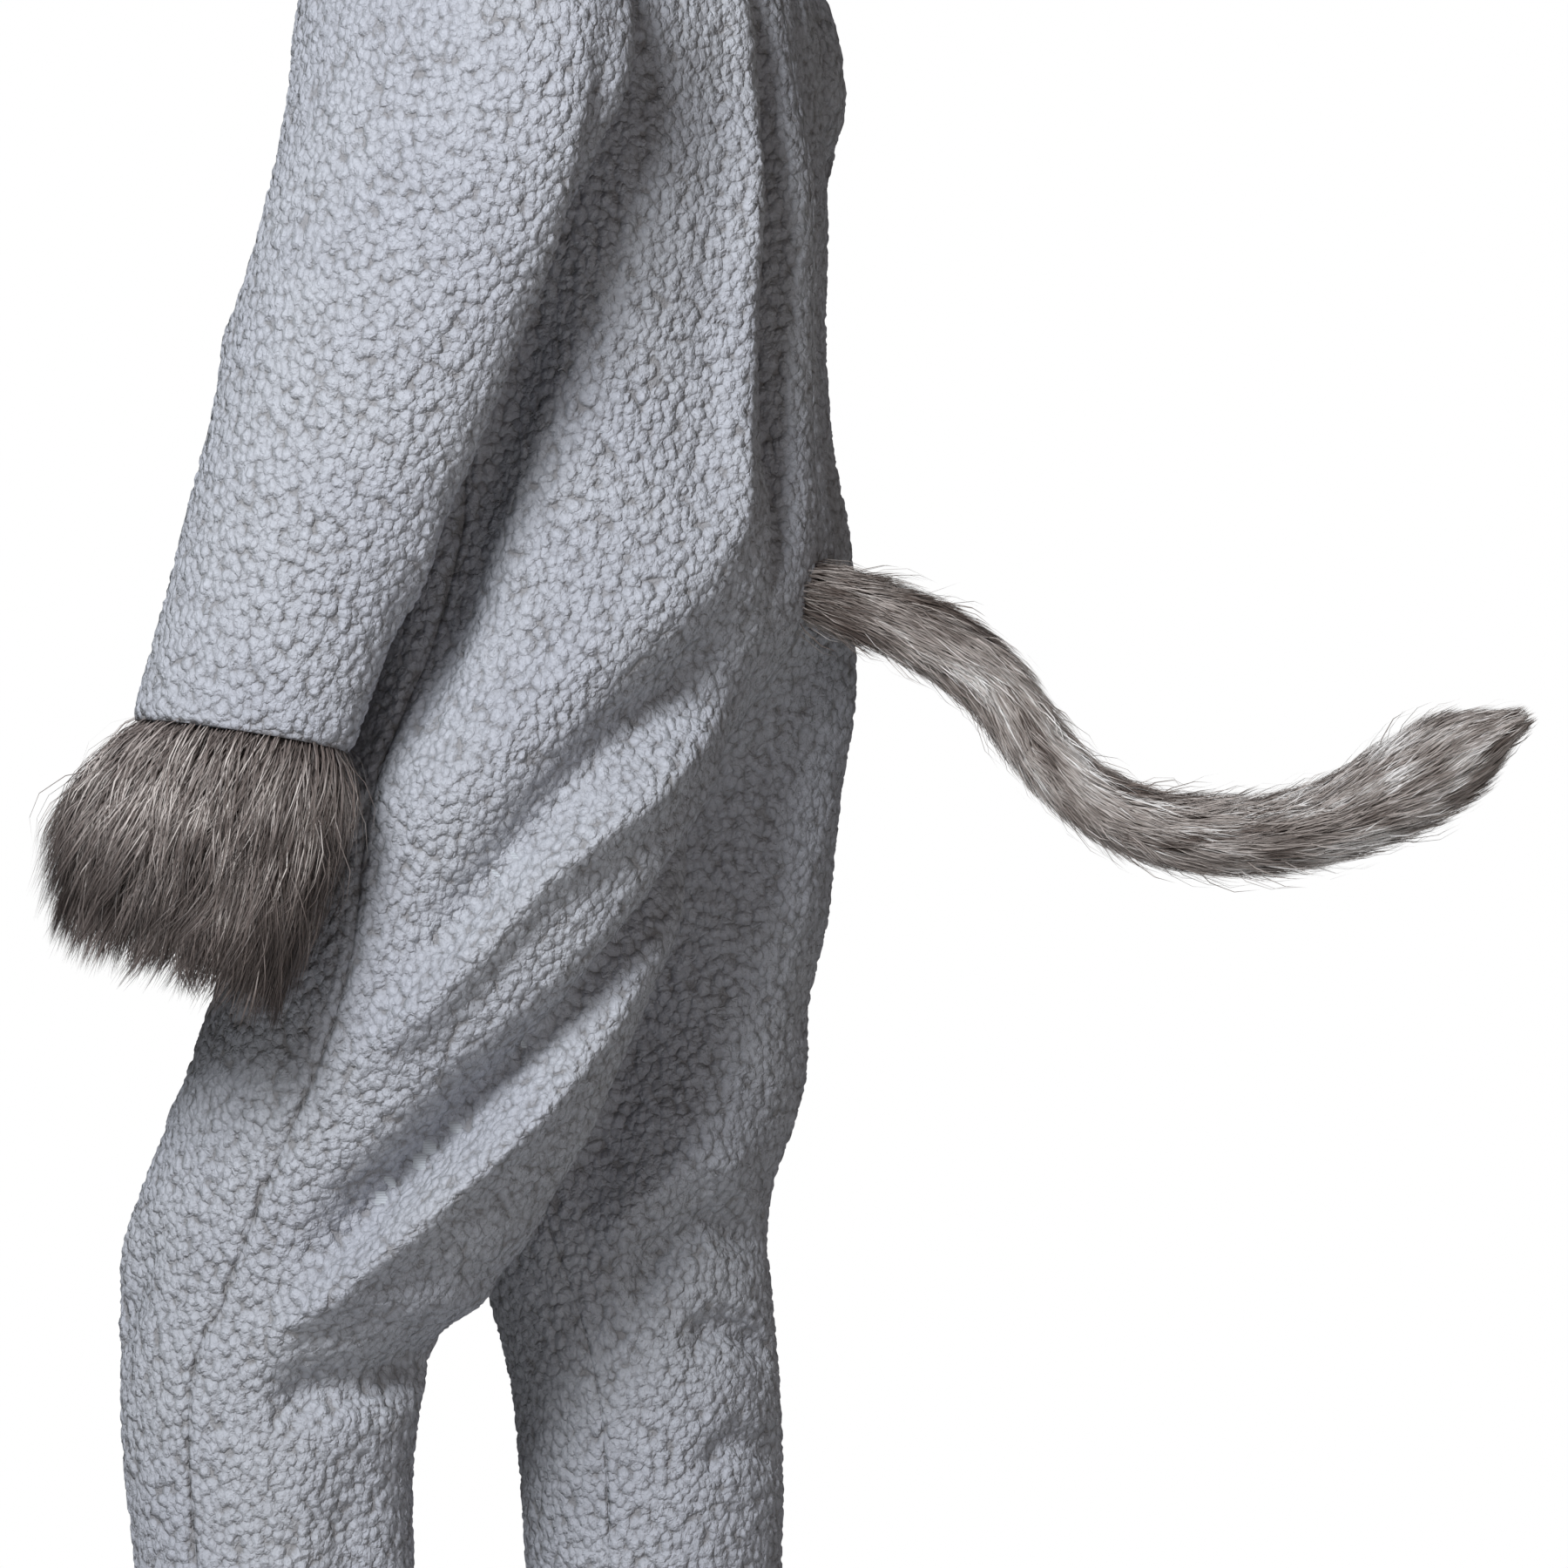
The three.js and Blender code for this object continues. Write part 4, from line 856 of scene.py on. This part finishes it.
def makeSleeve(side, loop, angles):
    name = f"sleeve_{sideOf(side)}"
    grid = sleevePoints(side, loop, angles)
    rows, count = grid.shape[0] - 1, grid.shape[1]
    index = np.arange(grid.shape[0] * count).reshape(-1, count)
    pick = index[::4, ::4].ravel()
    centres = sleeveAxes(side, sleeveRows())[0]

    def outward(at):
        return at - np.repeat(centres, count, axis=0)

    fine, coarse = tubePatch(rows, count), tubePatch(rows // 4, count // 4)
    points = grid.reshape(-1, 3)
    piece = clothShell(f"{name}_pile", points, fine, coarse, pick, outward, name, suit["pileDepth"], sherpa,
                       pileDepthAt(17 + side, 0.8))


# Fur: tapered ribbons. Paths are points from root to tip, one row a hair.
def makeHair(name, paths, facing, widths, shades, finish):
    count, steps = paths.shape[:2]
    t = np.linspace(0, 1, steps)
    tangents = np.gradient(paths, axis=1)
    across = unit(np.cross(tangents, facing[:, None, :]))
    half = widths[:, None, None] / 2 * (1 - t ** 2.2 * 0.85)[None, :, None]
    left, right = paths - across * half, paths + across * half
    pairs = np.stack([left[:, :-1], right[:, :-1]], 2).reshape(count, -1, 3)
    points = np.concatenate([pairs, paths[:, -1:]], 1)
    each = points.shape[1]
    base = (np.arange(count) * each)[:, None]
    rungs = np.arange(steps - 2) * 2
    quads = np.stack([rungs, rungs + 1, rungs + 3, rungs + 2], -1).reshape(1, -1) + base
    tip = np.array([each - 3, each - 2, each - 1])[None, :] + base
    along = np.append(np.repeat(t[:-1], 2), 1.0)
    attributes = {"shade": np.repeat(shades, each), "along": np.tile(along, count)}
    return meshObject(name, points.reshape(-1, 3), tip.reshape(-1, 3), quads.reshape(-1, 4), [finish],
                      attributes=attributes)


# Draws each hair towards the hair at its clump's middle, more at the tip.
def clumped(paths, roots, count, pull, seed):
    random = np.random.default_rng(seed)
    heads = random.choice(len(paths), count, replace=False)
    tree = treeOf(roots[heads])
    mine = np.array([tree.find(root)[1] for root in roots])
    t = np.linspace(0, 1, paths.shape[1])[None, :, None]
    strength = pull * (0.6 + 0.7 * random.random(count))[mine][:, None, None] * t ** 1.6
    return paths + (paths[heads][mine] - paths) * np.clip(strength, 0, 0.92), mine


cuffSizes = {
    "hairs": 17400,
    "steps": 5,
    "clumps": 760,
    "pull": 0.68,
    "length": (36, 68),
    "width": (0.3, 0.75),
    "wisps": 0.12,
    "lean": 0.19,
    "rootReach": (-5, 98),
    "end": 100,
    "rows": 36,
    "sides": 96,
    "wall": 3,
}
cuffSections = table(
    "along front back wide wall",
    (0, 56, 56, 37, 6), (13, 67, 60, 44, 11), (36, 76, 63, 52, 16), (66, 78, 70, 57, 19),
    (92, 73, 74, 57, 19), (114, 62, 70, 52, 15), (132, 46, 58, 42, 9))


# The cuff's cloth, inside the reach of its hair.
def cuffSurface(side, along, angle):
    centre, up, half, down, front = (np.asarray(part) for part in sleeveAxes(side, 1.0))
    s = sample(cuffSections, along)
    reach = np.where(np.sin(angle) > 0, s["front"], s["back"]) - s["wall"]
    wide = s["wide"] - s["wall"]
    up = unit(up)
    sine, cosine = np.sin(angle)[..., None], np.cos(angle)[..., None]
    reach, wide = reach[..., None], wide[..., None]
    outward = front * sine * wide + up * cosine * reach
    place = centre + down * along[..., None] + front * (reach * sine) + up * (wide * cosine)
    tilt = arm["hemTilt"] * (np.sin(angle) + 0.7) * (1 - smooth(along / 70))
    return place + down * tilt[..., None], unit(outward), down


def makeCuff(side):
    name = f"fur_cuff_{sideOf(side)}"
    rows, count = cuffSizes["rows"], cuffSizes["sides"]
    along = np.linspace(0, cuffSizes["end"], rows + 1)[:, None] + np.zeros((1, count))
    angle = np.linspace(0, 2 * np.pi, count, endpoint=False)[None, :] + 0 * along
    grid, outwards, down = cuffSurface(side, along, angle)
    points = grid.reshape(-1, 3)
    index = np.arange(len(points)).reshape(-1, count)

    def depthAt(at, loops):
        return 1.6 * np.clip(cellDistances(at * (1, 1, 0.35), 5.0, 31)[0], 0, 1), {}

    fine, coarse = tubePatch(rows, count), tubePatch(rows // 4, count // 4)
    pick = index[::4, ::4].ravel()
    cloth = clothShell(f"{name}_cloth", points, fine, coarse, pick, lambda at: outwards.reshape(-1, 3), name,
                       cuffSizes["wall"], cuffSkin, depthAt)

    random = np.random.default_rng(41 + side)
    hairs = cuffSizes["hairs"]
    low, high = cuffSizes["rootReach"]
    rootAlong = low + (high - low) * random.random(hairs) ** 0.85
    rootAngle = random.random(hairs) * 2 * np.pi
    root, outward, down = cuffSurface(side, rootAlong, rootAngle)
    sideways = unit(np.cross(outward, down))
    low, high = cuffSizes["length"]
    length = (low + (high - low) * random.random(hairs)) * (1 - 0.2 * smooth((rootAlong - 60) / 40))
    spread = 1 - 0.75 * smooth((rootAlong - 35) / 60)
    lean = random.normal(0, cuffSizes["lean"], hairs)
    wisp = random.random(hairs) < cuffSizes["wisps"]
    rise = (random.uniform(0.3, 1.15, hairs) + 0.8 * wisp * random.random(hairs)) * spread
    t = np.linspace(0, 1, cuffSizes["steps"])[None, :, None]
    reach = length[:, None, None]
    out = (0.74 * t - 0.40 * t ** 2) * rise[:, None, None]
    fall = 0.52 * t + 0.32 * t ** 2
    drift = lean[:, None, None] * t ** 1.3
    paths = root[:, None] + reach * (outward[:, None] * out + down * fall + sideways[:, None] * drift)
    paths, mine = clumped(paths, root, cuffSizes["clumps"], cuffSizes["pull"], 5 + side)
    tone = np.random.default_rng(9).random(cuffSizes["clumps"])[mine]
    shades = np.clip(0.6 * tone + 0.45 * random.random(hairs) ** 1.4 + 0.2 - 0.3 * smooth(rootAlong / 90), 0, 1)
    tilt = unit(outward + sideways * random.normal(0, 0.55, hairs)[:, None])
    widths = random.uniform(*cuffSizes["width"], hairs)
    hair = makeHair(f"{name}_hair", paths, tilt, widths, shades, cuffHair)
    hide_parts(name)


# Tail: a stuffed core with short fur flowing to the tip.
tailSizes = {
    "hairs": 24000,
    "steps": 4,
    "clumps": 1300,
    "pull": 0.5,
    "length": (22, 40),
    "width": (0.3, 0.7),
    "wisps": 0.07,
    "lean": 0.12,
    "streaks": (22, 9),
    "sway": 10,
    "rows": 120,
    "sides": 40,
    "furDepth": 7.5,
    "line": 480,
}
tailSections = table(
    "q y z radius",
    (0, 108, -392, 14), (0.05, 128, -398, 15.5), (0.1, 150, -405, 18), (0.18, 180, -418, 20),
    (0.27, 212, -441, 19), (0.36, 233, -472, 17.5), (0.44, 256, -494, 18), (0.53, 290, -510, 20),
    (0.63, 338, -514, 20.5), (0.72, 375, -508, 21.5), (0.81, 407, -495, 24), (0.88, 432, -482, 25.5),
    (0.95, 456, -468, 20), (1, 480, -457, 7))


def tailSurface(q, angle, inset):
    s = sample(tailSections, q)
    before = sample(tailSections, np.maximum(0, q - 0.01))
    after = sample(tailSections, np.minimum(1, q + 0.01))
    along = unit(np.stack([0 * q, after["y"] - before["y"], after["z"] - before["z"]], -1))
    up = np.stack([0 * q, -along[..., 2], along[..., 1]], -1)
    sway = -tailSizes["sway"] * np.sin(q * np.pi)
    centre = np.stack([sway, s["y"], s["z"]], -1)
    outward = np.stack([np.cos(angle), 0 * angle, 0 * angle], -1) + up * np.sin(angle)[..., None]
    radius = np.maximum(s["radius"] - inset * (0.3 + 0.7 * smooth(q / 0.12)), 1.5)
    return centre + outward * radius[..., None], outward, along


def makeTail():
    rows, sides = tailSizes["rows"], tailSizes["sides"]
    q = np.linspace(-0.02, 0.985, rows + 1)[:, None] + np.zeros((1, sides))
    angle = np.linspace(0, 2 * np.pi, sides, endpoint=False)[None, :] + 0 * q
    grid, outward, along = tailSurface(np.clip(q, 0.03, 1), angle, tailSizes["furDepth"])
    points = grid.reshape(-1, 3)
    nearest = cellDistances(points * (1, 0.4, 1), 5.0, 77)[0]
    points = points - outward.reshape(-1, 3) * np.clip(nearest, 0, 1)[:, None] * 1.2
    quads, loops = tubePatch(rows, sides)
    ends = [points[loop].mean(0) for loop in loops]
    caps = [(loop[(i + 1) % sides], loop[i], len(points) + k)
            for k, loop in enumerate(loops) for i in range(sides)]
    core = meshObject("tail_core", np.concatenate([points, ends]), caps, quads, [tailSkin])
    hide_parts("tail")

    random = np.random.default_rng(61)
    hairs = tailSizes["hairs"]
    rootQ = 0.985 * random.random(hairs)
    rootAngle = random.random(hairs) * 2 * np.pi
    rootDepth = tailSizes["furDepth"] + 0.5
    root, outward, along = tailSurface(rootQ, rootAngle, rootDepth)
    sideways = np.cross(outward, along)
    low, high = tailSizes["length"]
    length = (low + (high - low) * random.random(hairs)) * (1 - 0.6 * smooth((rootQ - 0.85) / 0.15))
    wisp = random.random(hairs) < tailSizes["wisps"]
    lean = random.normal(0, tailSizes["lean"], hairs) * (1 + wisp)
    rise = random.uniform(0.7, 1.3, hairs) * (1 + 1.3 * wisp * random.random(hairs))
    t = np.linspace(0, 1, tailSizes["steps"])[None, :, None]
    out = (0.42 * t - 0.22 * t ** 2) * rise[:, None, None]
    # The hair follows the tail's bend, so its tip is found along the tail's own line.
    flow = tailSurface(np.minimum(1, rootQ + length / tailSizes["line"]), rootAngle, rootDepth)[0] - root
    flow = flow + along * np.maximum(length * 0.9 - np.linalg.norm(flow, axis=1), 0)[:, None]
    paths = root[:, None] + flow[:, None] * t + length[:, None, None] * (
        outward[:, None] * out + sideways[:, None] * (lean[:, None, None] * t ** 1.2))
    paths, mine = clumped(paths, root, tailSizes["clumps"], tailSizes["pull"], 15)
    # Light and dark streaks run along the tail.
    around, lengths = tailSizes["streaks"]
    tones = np.random.default_rng(19).random((around, lengths + 2))
    lane = (rootAngle / (2 * np.pi) * around + 1.2 * np.sin(rootQ * 17)) % around
    spot = np.clip(rootQ * lengths + 0.9 * np.sin(np.floor(lane) * 2.4), 0, lengths)
    first, share = np.floor(spot).astype(int), spot % 1
    lane = np.floor(lane).astype(int)
    tone = tones[lane, first] * (1 - share) + tones[lane, first + 1] * share
    tuft = np.random.default_rng(23).random(tailSizes["clumps"])[mine]
    # Hairs near the tail's root are darker: painted shade where the tail meets the body.
    shades = 0.95 * tone + 0.25 * tuft + 0.4 * random.random(hairs) - 0.3 - 0.4 * (1 - smooth(rootQ / 0.28))
    shades = np.clip(shades, 0, 1)
    tilt = unit(outward + sideways * random.normal(0, 0.5, hairs)[:, None])
    widths = random.uniform(*tailSizes["width"], hairs)
    hair = makeHair("tail_hair", paths, tilt, widths, shades, tailHair)
    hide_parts("tail")


def makeZip(side):
    name = sideOf(side)
    levels = np.linspace(suit["chestZ"], suit["hemZ"], suit["rows"] + 1)
    above = levels[levels > zipSizes["foot"]]
    # A plain front surface over the chain, from the neck down to the zip's foot.
    width = np.linspace(0, 1, 9)[None, :]
    first = 1 / 7
    up = np.linspace(1, 0, 41)[:, None]
    top = yokePoint(side, "front", up, first * width)
    low = skinPoint(side, "front", above[1::3, None], first * 0.7 * width)
    grid = np.concatenate([top, low])
    rows, columns = grid.shape[0] - 1, grid.shape[1] - 1
    index = np.arange(grid.size // 3).reshape(rows + 1, columns + 1)
    quads = gridQuads(index)
    points = grid.reshape(-1, 3)
    normals = pointNormals(points, quads)
    normals = normals * np.sign(-normals[:, 1:2].mean())
    depth, thick = zipSizes["tapeDepth"], zipSizes["tapeThickness"]
    face = points - normals * depth
    rear = points - normals * (depth + thick)
    for layer in (face, rear):
        layer[np.abs(points[:, 0]) < 0.2, 0] = side * 0.15
    count = len(points)
    edge = np.concatenate([index[:0:-1, 0], index[0, :-1], index[:-1, -1], index[-1, :0:-1]])
    after = np.roll(edge, -1)
    rim = np.stack([after, edge, edge + count, after + count], -1)
    whole = np.concatenate([quads, quads[:, ::-1] + count, rim])
    strip = meshObject(f"zip_tape_{name}_cloth", np.concatenate([face, rear]), [], whole, [tape])
    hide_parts(f"zip_tape_{name}")

    line = grid[:, 0]
    lineNormals = normals.reshape(rows + 1, columns + 1, 3)[:, 0]
    gaps = np.concatenate([[0], np.cumsum(np.linalg.norm(np.diff(line, axis=0), axis=1))])
    pitch = zipSizes["pitch"]
    start = pitch if side > 0 else pitch * 1.5
    places = np.arange(start, gaps[-1] - pitch, pitch)
    tooth = np.array([(x, y, z) for z in (-1, 1) for y in (-1, 1) for x in (0, 1)], float)
    faces = np.array([(0, 2, 3, 1), (4, 5, 7, 6), (0, 1, 5, 4), (2, 6, 7, 3), (0, 4, 6, 2), (1, 3, 7, 5)])
    allPoints, allFaces = [], []
    for i, place in enumerate(places):
        at = np.array([np.interp(place, gaps, line[:, k]) for k in range(3)])
        out = unit(np.array([np.interp(place, gaps, lineNormals[:, k]) for k in range(3)]) * (0, 1, 1))
        down = np.cross(out, (1, 0, 0))
        middle = at - out * (depth - zipSizes["chainDepth"] / 2)
        for reach, thickness, height in ((zipSizes["chainHalf"], 2.2, 1.5), (1.3, 2.3, 1.9)):
            shape = tooth * (side * reach, thickness / 2, height / 2)
            allFaces.append(faces + len(allPoints) * 8)
            allPoints.append(middle + shape[:, :1] * (1, 0, 0) + shape[:, 1:2] * out + shape[:, 2:] * down)
    teeth = meshObject(f"zip_teeth_{name}", np.concatenate(allPoints), [], np.concatenate(allFaces),
                       [teethFinish])
    teeth.data.polygons.foreach_set("use_smooth", np.zeros(len(teeth.data.polygons), bool))
    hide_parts(f"zip_tape_{name}")


for side in (1, -1):
    word = sideOf(side)
    parts = {half: panelPoints(side, half) for half in ("front", "back")}
    for half in ("front", "back"):
        makePanel(side, half, parts)
    loop, tip = armholeLoop(parts)
    angles = armholeAngles(loop, tip)
    makeSleeve(side, loop, angles)
    print(word, "cloth ready")
    makeCuff(side)
    print(word, "cuff ready")
    makeZip(side)
    print(word, "zip ready")
makeTail()
print("tail ready")

for name in ("zip_slider", "zip_pull"):
    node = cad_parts[name]
    if not node.material_slots:
        node.data.materials.append(None)
    for place in node.material_slots:
        place.material = nickel


def makeStudio():
    paint = Paint("studio_floor")
    grain = paint.noise(paint.place(), 3, 3)
    shade = paint.mix(grain, colour(0.60, 0.595, 0.59), colour(0.64, 0.635, 0.63))
    material = paint.finish(Base_Color=shade, Roughness=0.7)
    place = (0, 0, picture["floor"])
    bpy.ops.mesh.primitive_circle_add(vertices=96, radius=2.4, fill_type="NGON", location=place)
    floor = bpy.context.object
    floor.name = "floor"
    floor.data.materials.append(material)
    centre = Vector(picture["centre"])
    for name in ("key", "fill", "rim"):
        lamp = light[name]
        data = bpy.data.lights.new(name, "AREA")
        data.size, data.energy, data.color = lamp["size"], lamp["power"], lamp["colour"]
        holder = bpy.data.objects.new(name, data)
        bpy.context.scene.collection.objects.link(holder)
        offset = Vector(lamp["from"])
        holder.location = centre + offset
        holder.rotation_euler = offset.to_track_quat("Z", "Y").to_euler()
    world = bpy.data.worlds.new("studio")
    world.use_nodes = True
    bpy.context.scene.world = world
    nodes, links = world.node_tree.nodes, world.node_tree.links
    nodes.clear()
    soft, plain = nodes.new("ShaderNodeBackground"), nodes.new("ShaderNodeBackground")
    soft.inputs[0].default_value = (1, 0.92, 0.86, 1)
    soft.inputs[1].default_value = light["sky"]
    plain.inputs[0].default_value = (1, 1, 1, 1)
    plain.inputs[1].default_value = 1
    kinds = ("LightPath", "MixShader", "OutputWorld")
    rays, choose, output = (nodes.new(f"ShaderNode{kind}") for kind in kinds)
    links.new(rays.outputs["Is Camera Ray"], choose.inputs[0])
    links.new(soft.outputs[0], choose.inputs[1])
    links.new(plain.outputs[0], choose.inputs[2])
    links.new(choose.outputs[0], output.inputs[0])
    scene = bpy.context.scene
    scene.view_settings.view_transform = "Standard"
    scene.view_settings.look = "None"


makeStudio()
print("studio ready")
